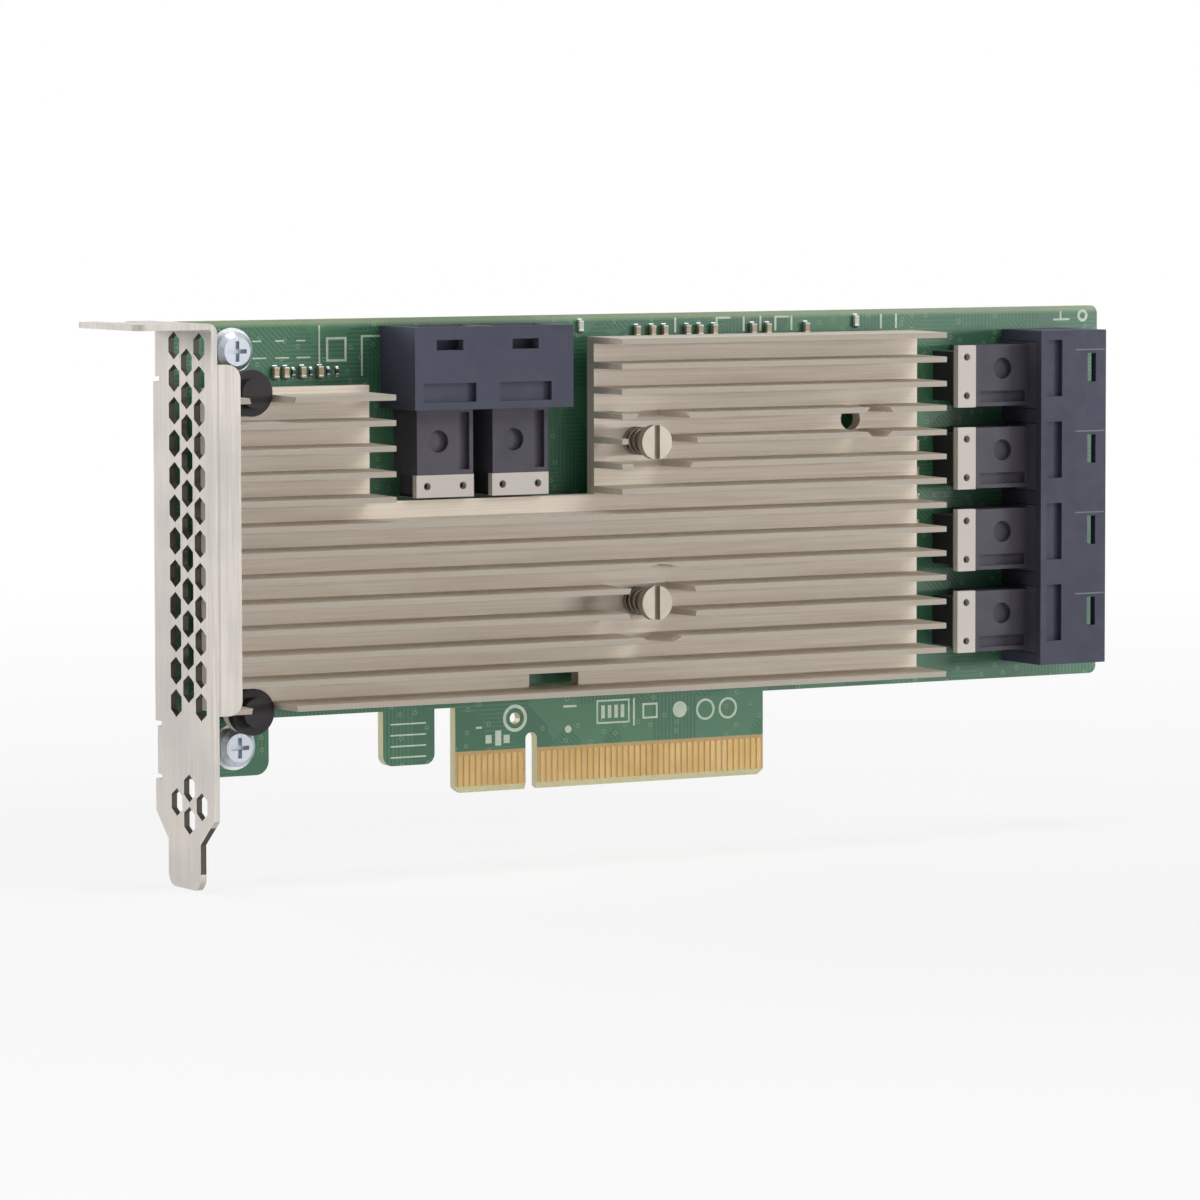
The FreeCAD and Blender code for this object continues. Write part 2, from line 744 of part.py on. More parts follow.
def build_heat_sink():
    body = new_body("heat_sink")
    plate = new_sketch(body, "XZ", "BasePlate", SINK_SEAT)
    draw_box(plate, "-sink_left", "sink_right", "sink_bottom", SINK_TOP)
    pad(body, plate, "sink_base", "Base")
    fin = new_sketch(body, "YZ", "FinSection", "-sink_left")
    draw_outline(fin, [
        (f"-{BASE_FRONT} + fin_root", "sink_bottom"),
        (f"-{BASE_FRONT} + fin_root", "sink_bottom + fin_thick"),
        (f"-{BASE_FRONT}", "sink_bottom + fin_thick"),
        (f"-{BASE_FRONT} - fin_tall", "sink_bottom + fin_thick - fin_draft"),
        (f"-{BASE_FRONT} - fin_tall", "sink_bottom + fin_draft"),
        (f"-{BASE_FRONT}", "sink_bottom"),
    ])
    first = pad(body, fin, "sink_left + sink_right", "Fin")
    repeat(body, [first], "Z_Axis", "fin_pitch", "fin_count", "Fins")

    bay = new_sketch(body, "XZ", "PortBay")
    outside = f"({SINK_TOP} + fin_pitch)"
    draw_outline(bay, [
        ("-sink_left - fin_pitch", "step_top"),
        ("-bay_left", "step_top"),
        ("-bay_left", "bay_floor"),
        ("bay_right", "bay_floor"),
        ("bay_right", outside),
        ("-sink_left - fin_pitch", outside),
    ])
    pocket(body, bay, "Bay")
    window = new_sketch(body, "XZ", "BaseWindow")
    channel = "(sink_bottom + fin_thick)"
    draw_box(window, "-window_left", "-window_left + window_width", channel, "sink_bottom + fin_pitch")
    pocket(body, window, "Window")

    ears = new_sketch(body, "XZ", "RivetEars", SINK_SEAT)
    for z in ("rivet_low", "rivet_high"):
        draw_circle(ears, "-rivet_x", z, "rivet_ear")
    pad(body, ears, "sink_base", "Ears")

    spots = new_sketch(body, "XZ", "SpotFaces", f"{BASE_FRONT} + fin_tall")
    draw_circle(spots, "pin_x", "pin_low", "spot_radius")
    draw_circle(spots, "pin_x", "pin_high", "spot_radius")
    draw_circle(spots, "bench_x", "bench_z", "bench_spot")
    for z in ("rivet_low", "rivet_high"):
        draw_circle(spots, "-rivet_x", z, "rivet_spot")
    pocket(body, spots, "SpotCuts", "fin_tall")

    holes = new_sketch(body, "XZ", "SinkHoles")
    for z in ("pin_low", "pin_high"):
        draw_circle(holes, "pin_x", z, "pin_radius + pin_play")
    for z in ("rivet_low", "rivet_high"):
        draw_circle(holes, "-rivet_x", z, "rivet_radius + rivet_play")
    draw_circle(holes, "bench_x", "bench_z", "bench_hole")
    pocket(body, holes, "SinkHoleCuts")


def build_spring_pins():
    """Two push pins whose barbs hold behind the board while a spring lifts the head."""
    body = new_body("sink_spring_pins", ("pin_x", "-board_thick / 2", "pin_low"), TO_FRONT)
    head_seat = "(sink_gap + sink_base + pin_standing)"
    profile = new_sketch(body, "XZ", "PinProfile")
    draw_outline(profile, [
        ("0", "-board_thick - pin_barb_tall"),
        ("pin_tip", "-board_thick - pin_barb_tall"),
        ("pin_barb", "-board_thick"),
        ("pin_radius", "-board_thick"),
        ("pin_radius", head_seat),
        ("pin_head", head_seat),
        ("pin_head", f"{head_seat} + pin_head_tall"),
        ("0", f"{head_seat} + pin_head_tall"),
    ])
    pin = revolve(body, profile, "Pin")
    slit = new_sketch(body, "XZ", "TipSlit")
    draw_box(slit, "-pin_slit / 2", "pin_slit / 2", "-board_thick - pin_barb_tall", "-board_thick / 2")
    split = pocket(body, slit, "Slit")
    slot = new_sketch(body, "XZ", "HeadSlot")
    top = f"({head_seat} + pin_head_tall)"
    draw_box(slot, "-pin_slot / 2", "pin_slot / 2", f"{top} - pin_slot_depth", top)
    slotted = pocket(body, slot, "Slot")
    repeat(body, [pin, split, slotted], "Y_Axis", "pin_high - pin_low", "2", "Pins")


def build_pin_springs():
    """A coil spring round each push pin, between the heat sink's base and the pin's head."""
    body = new_body("sink_pin_springs", ("pin_x", f"-{BASE_FRONT}", "pin_low"), TO_FRONT)
    wire = new_sketch(body, "XZ", "Wire")
    inner = "(pin_radius + spring_play)"
    draw_box(wire, inner, f"{inner} + spring_wire", "0", "spring_wire")
    coil = body.newObject("PartDesign::AdditiveHelix", "Coil")
    coil.Profile = wire
    coil.ReferenceAxis = (origin_item(body, "Z_Axis"), [""])
    coil.Mode = "height-turns-angle"
    bind(coil, "Height", "pin_standing - spring_wire")
    bind(coil, "Turns", "spring_turns")
    body.Tip = coil
    doc.recompute()
    repeat(body, [coil], "Y_Axis", "pin_high - pin_low", "2", "Coils")


def build_corner_rivets():
    """Black plastic expanding rivets at the two corners beside the bracket."""
    body = new_body("corner_rivets", ("-rivet_x", "-board_thick / 2", "rivet_low"), TO_FRONT)
    seat = "(sink_gap + sink_base)"
    profile = new_sketch(body, "XZ", "RivetProfile")
    draw_outline(profile, [
        ("0", "-board_thick - rivet_tip_tall"),
        ("rivet_point", "-board_thick - rivet_tip_tall"),
        ("rivet_tip", "-board_thick"),
        ("rivet_radius", "-board_thick"),
        ("rivet_radius", seat),
        ("rivet_head", seat),
        ("rivet_head", f"{seat} + rivet_head_tall"),
        ("rivet_cap", f"{seat} + rivet_head_tall"),
        ("rivet_cap", f"{seat} + rivet_head_tall + rivet_cap_tall"),
        ("0", f"{seat} + rivet_head_tall + rivet_cap_tall"),
    ])
    rivet = revolve(body, profile, "Rivet")
    repeat(body, [rivet], "Y_Axis", "rivet_high - rivet_low", "2", "Rivets")


# --- controller -------------------------------------------------------------------------------


def build_square(label, side, level, thick, corner=None):
    """A square slab centred on the controller, parallel to the board."""
    body = new_body(label, ("-chip_x", "0", "chip_z"))
    square = new_sketch(body, "XZ", "Square", level)
    half = f"({side}) / 2"
    draw_box(square, f"-{half}", half, f"-{half}", half)
    pad(body, square, thick, "Slab")
    if corner:
        places = [(f"{a}{half}", f"{b}{half}") for a in ("", "-") for b in ("", "-")]
        round_edges(body, 1, places, corner, "Corners")


def build_controller():
    build_square("controller_substrate", "chip_side", BOARD_FRONT, "chip_thick")
    lid_level = "board_thick / 2 + chip_thick"
    build_square("controller_lid", "lid_side", lid_level, "lid_tall", "lid_round")
    pad_level = "board_thick / 2 + chip_thick + lid_tall"
    build_square("thermal_pad", "lid_side - 2 * lid_round", pad_level, "sink_gap - chip_thick - lid_tall")


# --- drive ports ------------------------------------------------------------------------------

# In a row of ports the row's own X runs across the ports, its Y points into the board and its Z
# points out of the mouths. The row's origin is on the board, in the middle of the mouth face.
ROWS = {
    "top_port": {
        "count": 2,
        "place": ("-top_port_x", "-board_thick / 2", "top_port_mouth"),
        "turn": FreeCAD.Rotation(),
    },
    "side_port": {
        "count": 4,
        "place": ("side_port_mouth", "-board_thick / 2", "side_port_z"),
        "turn": FreeCAD.Rotation(FreeCAD.Vector(0, 1, 0), 90),
    },
}


def first_port(count):
    """X of the first port's centre in its row."""
    return f"(-({count} - 1) * port_pitch / 2)"


def build_port_shell(name, row):
    """The ganged shell: one open socket for each port, seen through from mouth to rear."""
    count = row["count"]
    body = new_body(f"{name}_shell", row["place"], row["turn"])
    half = f"({count} * port_pitch / 2 + port_side_wall)"
    block = new_sketch(body, "XZ", "ShellBlock")
    draw_box(block, f"-{half}", half, "-port_shell", "0")
    pad(body, block, "port_tall", "Block")

    x = first_port(count)
    mouths = new_sketch(body, "XY", "Sockets")
    left = f"{x} - socket_width / 2"
    right = f"{x} + socket_width / 2"
    draw_box(mouths, left, right, "-socket_floor - socket_tall", "-socket_floor")
    cuts = [pocket(body, mouths, "Socket", "port_shell")]
    lead_in = new_sketch(body, "XY", "LeadIn")
    draw_box(
        lead_in, f"{left} - socket_lead_in", f"{right} + socket_lead_in",
        "-socket_floor - socket_tall - socket_lead_in", "-socket_floor + socket_lead_in",
    )
    taper = pocket(body, lead_in, "LeadInTaper", "socket_lead_in")
    taper.TaperAngle = -45
    doc.recompute()
    cuts.append(taper)

    latch = new_sketch(body, "XZ", "LatchWindow", "port_tall")
    middle = f"({x} - latch_offset)"
    draw_box(
        latch, f"{middle} - latch_width / 2", f"{middle} + latch_width / 2",
        "-latch_place - latch_length / 2", "-latch_place + latch_length / 2",
    )
    cuts.append(pocket(body, latch, "Latch", "port_tall - socket_floor - socket_tall / 2"))

    panel = new_sketch(body, "XZ", "ShellPanel", "port_tall")
    draw_box(
        panel, f"{middle} - panel_width / 2", f"{middle} + panel_width / 2",
        "-panel_place - panel_length", "-panel_place",
    )
    cuts.append(pocket(body, panel, "Panel", "panel_depth"))
    repeat(body, cuts, "X_Axis", "port_pitch", str(count), "SocketRow")

    pegs = new_sketch(body, "XZ", "Pegs", "-peg_length")
    for sign in ("-", ""):
        draw_circle(pegs, f"{sign}({count} * port_pitch / 2 - peg_place)", "-port_shell / 2", "peg_radius")
    pad(body, pegs, "peg_length", "PegPins")


def build_port_bodies(name, row):
    """The contact carriers: a low block behind the shell and a slotted nose inside each socket."""
    count = row["count"]
    body = new_body(f"{name}_contact_carriers", row["place"], row["turn"])
    x = first_port(count)
    block = new_sketch(body, "XZ", "CarrierBlock")
    draw_box(
        block, f"{x} - body_width / 2", f"{x} + body_width / 2", "-port_shell - body_length", "-port_shell"
    )
    features = [pad(body, block, "body_tall", "Carrier")]
    tail = new_sketch(body, "XZ", "TailBlock")
    draw_box(
        tail, f"{x} - tail_block_width / 2", f"{x} + tail_block_width / 2",
        "-port_shell - body_length - organizer_length + organizer_wall", "-port_shell - body_length",
    )
    features.append(pad(body, tail, "body_tall - organizer_thick", "Tail"))

    socket_middle = "(socket_floor + socket_tall / 2)"
    collar = new_sketch(body, "XY", "Collar", "-port_shell")
    half = "(socket_width / 2 - body_fit)"
    rise = "(socket_tall / 2 - body_fit)"
    draw_box(
        collar, f"{x} - {half}", f"{x} + {half}", f"-{socket_middle} - {rise}", f"-{socket_middle} + {rise}"
    )
    features.append(pad(body, collar, "collar_length", "CollarBlock"))
    nose = new_sketch(body, "XY", "Nose", "-port_shell")
    draw_box(
        nose, f"{x} - nose_width / 2", f"{x} + nose_width / 2",
        f"-{socket_middle} - nose_tall / 2", f"-{socket_middle} + nose_tall / 2",
    )
    features.append(pad(body, nose, "port_shell - nose_recess", "NoseBlock"))

    slots = new_sketch(body, "XY", "CardSlots", "-nose_recess")
    for sign in "+-":
        level = f"(-{socket_middle} {sign} card_slot_pitch / 2)"
        draw_box(
            slots, f"{x} - card_slot_width / 2", f"{x} + card_slot_width / 2",
            f"{level} - card_slot_tall / 2", f"{level} + card_slot_tall / 2",
        )
    features.append(pocket(body, slots, "SlotCuts", "card_slot_depth"))

    groove = new_sketch(body, "XZ", "CarrierGroove", "body_tall")
    edge = f"({x} + body_width / 2 - body_groove_edge)"
    draw_box(
        groove, f"{edge} - body_groove", edge,
        "-port_shell - body_length + body_groove_rear", "-port_shell - body_groove_front",
    )
    features.append(pocket(body, groove, "Groove", "body_groove_depth"))
    dimple = new_sketch(body, "XZ", "CarrierDimple", "body_tall")
    draw_circle(dimple, f"{x} - latch_offset", "-port_shell - body_dimple_place", "body_dimple")
    features.append(pocket(body, dimple, "Dimple", "body_groove_depth"))
    repeat(body, features, "X_Axis", "port_pitch", str(count), "CarrierRow")


def build_port_organizers(name, row):
    """Pale plates that close the rear end of each contact carrier."""
    count = row["count"]
    body = new_body(f"{name}_tail_organizers", row["place"], row["turn"])
    x = first_port(count)
    rear = "(-port_shell - body_length)"
    plate = new_sketch(body, "XZ", "Plate", "body_tall - organizer_thick")
    draw_box(
        plate, f"{x} - organizer_width / 2", f"{x} + organizer_width / 2", f"{rear} - organizer_length", rear
    )
    features = [pad(body, plate, "organizer_thick", "OrganizerPlate")]
    wall = new_sketch(body, "XZ", "RearWall", "0")
    draw_box(
        wall, f"{x} - tail_block_width / 2", f"{x} + tail_block_width / 2",
        f"{rear} - organizer_length", f"{rear} - organizer_length + organizer_wall",
    )
    features.append(pad(body, wall, "body_tall - organizer_thick", "OrganizerWall"))
    holes = new_sketch(body, "XZ", "OrganizerHoles", "body_tall")
    for sign in "+-":
        draw_circle(
            holes, f"{x} {sign} organizer_hole_place", f"{rear} - organizer_length / 2", "organizer_hole"
        )
    features.append(pocket(body, holes, "HoleCuts", "organizer_thick"))
    repeat(body, features, "X_Axis", "port_pitch", str(count), "OrganizerRow")


def build_port_contacts(name, row):
    """Contact blades on both sides of each card slot."""
    count = row["count"]
    body = new_body(f"{name}_contacts", row["place"], row["turn"])
    x = first_port(count)
    socket_middle = "(socket_floor + socket_tall / 2)"
    blades = new_sketch(body, "XY", "Blades", "-nose_recess - card_slot_depth")
    left = f"{x} - (blade_count - 1) * blade_pitch / 2 - blade_width / 2"
    for slot_side in "+-":
        level = f"(-{socket_middle} {slot_side} card_slot_pitch / 2)"
        for wall_side in "+-":
            wall = f"{level} {wall_side} card_slot_tall / 2"
            inner = f"{level} {wall_side} (card_slot_tall / 2 - blade_thick)"
            low, high = (inner, wall) if wall_side == "+" else (wall, inner)
            draw_box(blades, left, f"{left} + blade_width", low, high)
    row_of_blades = pad(body, blades, "blade_length", "BladeSet")
    row_of_blades.Refine = False
    across = body.newObject("PartDesign::MultiTransform", "Grid")
    across.Originals = [row_of_blades]
    steps = []
    for step_name, pitch, number in (
        ("AcrossSlot", "blade_pitch", "blade_count"), ("AcrossPorts", "port_pitch", str(count))
    ):
        step = body.newObject("PartDesign::LinearPattern", step_name)
        step.Direction = (origin_item(body, "X_Axis"), [""])
        step.Mode = "Spacing"
        bind(step, "Offset", pitch)
        bind(step, "Occurrences", number)
        steps.append(step)
    across.Transformations = steps
    across.Refine = False
    body.Tip = across
    doc.recompute()


# --- small parts on the board -----------------------------------------------------------------


def box_at(name, x, z, size, side=1, stand="0"):
    """A box on one face of the board; size is its length, its width and its height over it."""
    length, width, tall = size
    box = doc.addObject("Part::Box", name)
    bind(box, "Length", length)
    bind(box, "Width", tall)
    bind(box, "Height", width)
    bind(box, "Placement.Base.x", f"{x} - ({length}) / 2")
    bind(box, "Placement.Base.z", f"{z} - ({width}) / 2")
    if side > 0:
        bind(box, "Placement.Base.y", f"-board_thick / 2 - ({stand}) - ({tall})")
    else:
        bind(box, "Placement.Base.y", f"board_thick / 2 + ({stand})")
    return box


def group(label, boxes):
    compound = doc.addObject("Part::Compound", label)
    compound.Label = label
    compound.Links = boxes
    parts.append(compound)


def small_parts(label, kinds, side=1):
    """A group of chip parts: for each kind its places, each x, z and True for an upright part."""
    boxes = []
    for kind, places in kinds:
        length, width, tall = (f"{kind}_{size}" for size in ("length", "width", "tall"))
        for x, z, upright in places:
            size = (width, length, tall) if upright else (length, width, tall)
            boxes.append(box_at(f"{label}_{len(boxes)}", x, z, size, side))
    group(label, boxes)


def row_along(places, z, upright=True):
    """Places in one row along the board; a place is a distance from the key notch."""
    return [(f"{x}", z, upright) for x in places]


def row_up(x, start, steps, pitch):
    """Upright places one over the other, so many steps each way of a height."""
    return [(x, f"{start} + {step * pitch}", True) for step in range(-steps, steps + 1)]


def build_memory(label, x, z, side=1):
    """An eight-lead package: one body and its leads, lying along the board."""
    body = box_at(
        f"{label}_body", x, z, ("memory_length", "memory_width", "memory_tall"), side, "memory_stand"
    )
    leads = []
    for number in range(SIZES["lead_count"]):
        across = f"({x} + ({number} - (lead_count - 1) / 2) * lead_pitch)"
        for sign in "+-":
            reach = f"({z} {sign} (memory_width / 2 + lead_reach / 2))"
            size = ("lead_width", "lead_reach", "lead_thick + memory_stand")
            leads.append(box_at(f"{label}_lead_{len(leads)}", across, reach, size, side))
    package = doc.addObject("Part::MultiFuse", label)
    package.Label = label
    package.Shapes = [body] + leads
    parts.append(package)


def build_coils():
    """Flat moulded power inductors between the board and the heat sink's base."""
    body = new_body("power_inductors", ("coil_x", "0", "coil_z"))
    square = new_sketch(body, "XZ", "CoilSquare", BOARD_FRONT)
    half = "coil_side / 2"
    draw_box(square, f"-{half}", half, f"-{half}", half)
    block = pad(body, square, "coil_tall", "Coil")
    places = [(f"{a}{half}", f"{b}{half}") for a in ("", "-") for b in ("", "-")]
    round_edges(body, 1, places, "coil_corner", "CoilCorners", "Chamfer")
    repeat(body, [block, body.Tip], "X_Axis", "coil_pitch", "coil_count", "CoilRow")


TOP_ROW = (17.8, 20.4, 22.5, 26.4, 28.5, 31.0, 37.7, 40.3, 47.0)
STEP_CAPACITORS = (-41.5, -39.9, -37.2, -34.4)
STEP_RESISTORS = (-38.6, -35.8, -33.0, -31.6)
LAMPS = (8.3, 55.8)
COUPLERS = (2.6, 3.8, 6.6, 7.8, 10.6, 11.8, 14.6, 15.8, 18.6, 19.8, 22.6, 23.8, 26.6, 27.8, 30.6, 31.8)
CHIP_GRID = (-8, -4, 0, 4, 8)
CHIP_GRID_PITCH = 4
SUPPLY_COLUMNS = (-3, 0, 3)


def build_small_parts():
    top_row = row_along(TOP_ROW, "board_height - top_row_drop")
    step_row = "step_top + step_row_rise"
    beside_sink = row_up("sink_right + side_row_gap", "side_port_z", 2, CHIP_GRID_PITCH)
    ceramic = top_row + row_along(STEP_CAPACITORS, step_row) + beside_sink
    small_parts("capacitors_component_side", [("capacitor", ceramic)])
    small_parts("resistors_component_side", [("resistor", row_along(STEP_RESISTORS, step_row))])
    small_parts("status_lamps", [("lamp", row_along(LAMPS, "board_height - lamp_drop"))])
    build_coils()
    regulators = [
        box_at(
            f"regulator_{number}", f"coil_x + {number} * coil_pitch", "coil_z + regulator_rise",
            ("regulator_side", "regulator_side", "regulator_tall"),
        )
        for number in range(SIZES["coil_count"])
    ]
    group("voltage_regulators", regulators)
    build_memory("flash_memory", "-flash_x", "flash_z")
    can_size = ("crystal_length", "crystal_width", "crystal_tall")
    group("clock_crystal", [box_at("crystal_can", "-crystal_x", "crystal_z", can_size)])

    under_chip = [
        (f"-chip_x + {x}", f"chip_z + {z}", (x + z) % (2 * CHIP_GRID_PITCH) == 0)
        for x in CHIP_GRID for z in CHIP_GRID
    ]
    near_supply = [
        (f"coil_x + {number} * coil_pitch + {x}", height, True)
        for number in range(SIZES["coil_count"]) for x in SUPPLY_COLUMNS
        for height in ("coil_z", "coil_z + regulator_rise")
    ]
    couplers = row_along(COUPLERS, "contact_top + coupler_rise")
    behind = [("capacitor", under_chip + near_supply), ("coupler", couplers)]
    small_parts("capacitors_solder_side", behind, -1)
    terminators = row_up("sink_right + side_row_gap", "side_port_z", 4, CHIP_GRID_PITCH)
    small_parts("resistors_solder_side", [("resistor", terminators)], -1)
    build_memory("settings_memory", "-settings_x", "settings_z", -1)
    build_memory("sense_chip", "-sense_x", "sense_z", -1)


def write_steps():
    doc.recompute()
    for thing in doc.Objects:
        if "Invalid" in thing.State or "Error" in thing.State:
            raise ValueError(f"{thing.Label} failed: {thing.State}")
    os.makedirs("parts", exist_ok=True)
    for part in parts:
        shape = part.Shape
        if shape.isNull() or not shape.isValid():
            raise ValueError(f"{part.Label} has no valid shape")
        shape.exportStep(f"parts/{part.Label}.step")
        print(part.Label, len(shape.Solids), round(shape.Volume, 2))


build_board()
build_edge_contacts("edge_contacts_component_side", 1)
build_edge_contacts("edge_contacts_solder_side", -1)
build_bracket()
build_bracket_screws()
build_heat_sink()
build_spring_pins()
build_pin_springs()
build_corner_rivets()
build_controller()
for port_name, port_row in ROWS.items():
    build_port_shell(port_name, port_row)
    build_port_bodies(port_name, port_row)
    build_port_organizers(port_name, port_row)
    build_port_contacts(port_name, port_row)
build_small_parts()
write_steps()
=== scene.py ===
"""The raid controller card dressed for rendering: materials, small parts and a plain studio."""

import bmesh
import bpy
import math
from mathutils import Matrix, Vector


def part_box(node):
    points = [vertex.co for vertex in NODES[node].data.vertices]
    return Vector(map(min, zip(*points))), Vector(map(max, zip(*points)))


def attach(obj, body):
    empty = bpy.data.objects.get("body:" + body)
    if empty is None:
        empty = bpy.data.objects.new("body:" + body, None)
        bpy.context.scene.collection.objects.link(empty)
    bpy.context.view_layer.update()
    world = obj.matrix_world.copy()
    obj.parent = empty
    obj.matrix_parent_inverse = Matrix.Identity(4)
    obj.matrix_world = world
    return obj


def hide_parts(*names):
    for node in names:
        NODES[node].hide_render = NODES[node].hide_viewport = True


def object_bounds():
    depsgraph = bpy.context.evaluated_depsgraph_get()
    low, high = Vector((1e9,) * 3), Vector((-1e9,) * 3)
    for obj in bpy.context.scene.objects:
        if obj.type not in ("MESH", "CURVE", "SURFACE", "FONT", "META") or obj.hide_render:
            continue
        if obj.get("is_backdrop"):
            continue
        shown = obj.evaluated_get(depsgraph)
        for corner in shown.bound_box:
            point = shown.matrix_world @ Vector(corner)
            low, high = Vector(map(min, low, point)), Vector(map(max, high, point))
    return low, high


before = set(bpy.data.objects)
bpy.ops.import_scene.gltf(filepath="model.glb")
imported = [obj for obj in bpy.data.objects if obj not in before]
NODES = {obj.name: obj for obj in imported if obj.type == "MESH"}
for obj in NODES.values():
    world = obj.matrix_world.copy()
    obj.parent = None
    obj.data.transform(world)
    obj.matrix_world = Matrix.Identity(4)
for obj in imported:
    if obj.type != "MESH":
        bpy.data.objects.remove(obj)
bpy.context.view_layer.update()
MM = 0.001

BOARD_LOW, BOARD_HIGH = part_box("circuit_board")
FRONT = BOARD_LOW.y
BACK = BOARD_HIGH.y
FLANGE_REACH = 11.43 * MM
PLATE_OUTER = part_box("io_bracket")[0].x + FLANGE_REACH
CONTACT_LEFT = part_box("edge_contacts_component_side")[0].x
CONTACT_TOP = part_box("edge_contacts_component_side")[1].z


# --- node materials ---------------------------------------------------------------------------


def linear(red, green, blue):
    """An sRGB colour of 0 to 255 as the linear colour that a shader takes."""
    parts = []
    for part in (red, green, blue):
        share = part / 255
        parts.append(share / 12.92 if share <= 0.04045 else ((share + 0.055) / 1.055) ** 2.4)
    return (*parts, 1.0)


class Finish:
    """A node material with short calls that add nodes and join them."""

    def __init__(self, name, rough=0.5, metal=0.0, **extra):
        self.material = bpy.data.materials.new(name)
        self.material.use_nodes = True
        self.tree = self.material.node_tree
        self.shader = next(node for node in self.tree.nodes if node.type == "BSDF_PRINCIPLED")
        self.shader.inputs["Roughness"].default_value = rough
        self.shader.inputs["Metallic"].default_value = metal
        for socket, number in extra.items():
            self.shader.inputs[socket.replace("_", " ")].default_value = number

    def add(self, kind, inputs, output=0, **settings):
        """Adds a node; an input is a number, a colour or the output of another node."""
        node = self.tree.nodes.new(kind)
        for key, setting in settings.items():
            setattr(node, key, setting)
        for key, source in inputs.items():
            if isinstance(source, bpy.types.NodeSocket):
                self.tree.links.new(source, node.inputs[key])
            else:
                node.inputs[key].default_value = source
        return node.outputs[output]

    def parts(self, kind, source):
        """The outputs of a node that takes a vector or a colour apart."""
        node = self.tree.nodes.new(kind)
        self.tree.links.new(source, node.inputs[0])
        return node.outputs

    def axes(self):
        """X, Y and Z of the object's own coordinates."""
        return self.parts("ShaderNodeSeparateXYZ", self.add("ShaderNodeTexCoord", {}, "Object"))

    def facing(self):
        """X, Y and Z of the surface's normal."""
        return self.parts("ShaderNodeSeparateXYZ", self.add("ShaderNodeNewGeometry", {}, "Normal"))

    def place(self, stretch=(1, 1, 1)):
        """The object's own coordinates, stretched."""
        here = self.add("ShaderNodeTexCoord", {}, "Object")
        return self.add("ShaderNodeMapping", {"Vector": here, "Scale": stretch})

    def noise(self, scale, stretch=(1, 1, 1), detail=3.0, rough=0.5):
        """Soft noise, finer at a larger scale and drawn out along an axis of a smaller stretch."""
        inputs = {"Vector": self.place(stretch), "Scale": scale, "Detail": detail, "Roughness": rough}
        return self.add("ShaderNodeTexNoise", inputs)

    def patches(self, scale, stretch=(1, 1, 1), detail=3.0):
        """Noise in soft patches of 0 and of 1 with short ways between them."""
        return self.spread(self.noise(scale, stretch, detail), 0.35, 0.65)

    def sum(self, operation, first, second=0.5):
        """The result of an operation on one or two numbers."""
        return self.add("ShaderNodeMath", {0: first, 1: second}, operation=operation)

    def pick(self, share, first, second):
        """The first number where the share is 0 and the second where it is 1."""
        rest = self.sum("SUBTRACT", 1.0, share)
        return self.sum("ADD", self.sum("MULTIPLY", second, share), self.sum("MULTIPLY", first, rest))

    def spread(self, source, low, high, to_low=0.0, to_high=1.0):
        """A number carried from one range onto another, and held at its ends."""
        inputs = {"Value": source, "From Min": low, "From Max": high, "To Min": to_low, "To Max": to_high}
        return self.add("ShaderNodeMapRange", inputs)

    def blend(self, share, first, second):
        """The first colour where the share is 0, the second where it is 1, and mixes between."""
        return self.add("ShaderNodeMix", {0: share, 6: first, 7: second}, 2, data_type="RGBA")

    def colour(self, source):
        """Joins a colour to the shader."""
        self.tree.links.new(source, self.shader.inputs["Base Color"])

    def rough(self, source, low, high):
        """Joins a noise to the shader's roughness, carried between low and high."""
        self.tree.links.new(self.spread(source, 0.3, 0.7, low, high), self.shader.inputs["Roughness"])

    def bump(self, source, depth, strength=0.5):
        """Joins a height to the shader's normal."""
        inputs = {"Height": source, "Distance": depth, "Strength": strength}
        self.tree.links.new(self.add("ShaderNodeBump", inputs), self.shader.inputs["Normal"])


def plain_finish(name, first, second, scale, rough, metal=0.0, depth=0.0, **extra):
    """Two near colours in soft patches, with a fine grain in gloss and height."""
    finish = Finish(name, metal=metal, **extra)
    finish.colour(finish.blend(finish.patches(scale), linear(*first), linear(*second)))
    grain = finish.noise(scale * 9, detail=2.0)
    finish.rough(grain, *rough)
    if depth:
        finish.bump(grain, depth)
    return finish.material


def flat_cells(finish, flat, scale, measure):
    """Cells on the board's plane: how far the cell's centre is, and three tints of each cell."""
    node = finish.tree.nodes.new("ShaderNodeTexVoronoi")
    node.voronoi_dimensions = "2D"
    node.distance = measure
    finish.tree.links.new(flat, node.inputs["Vector"])
    node.inputs["Scale"].default_value = scale
    return node.outputs["Distance"], finish.parts("ShaderNodeSeparateColor", node.outputs["Color"])


def board_copper(finish, flat, x, z):
    """1 over copper: bundles of level, upright or slanted traces, and pours where no trace runs."""
    upright_over, slanted_over, routed_over, poured_over = 0.42, 0.8, 0.35, 0.55
    trace_pitch, trace_share = 0.62 * MM, 0.42
    _, tint = flat_cells(finish, flat, 150, "CHEBYCHEV")
    diagonal = finish.sum("MULTIPLY", finish.sum("ADD", x, z), math.sqrt(0.5))
    across = finish.pick(finish.sum("GREATER_THAN", tint[0], upright_over), z, x)
    across = finish.pick(finish.sum("GREATER_THAN", tint[0], slanted_over), across, diagonal)
    step = finish.sum("FRACT", finish.sum("MULTIPLY", across, 1 / trace_pitch))
    routed = finish.sum("GREATER_THAN", tint[1], routed_over)
    traces = finish.sum("MULTIPLY", finish.sum("LESS_THAN", step, trace_share), routed)
    _, field = flat_cells(finish, flat, 48, "CHEBYCHEV")
    poured = finish.sum("GREATER_THAN", field[2], poured_over)
    pours = finish.sum("MULTIPLY", poured, finish.sum("SUBTRACT", 1.0, routed))
    return finish.sum("MAXIMUM", traces, pours)


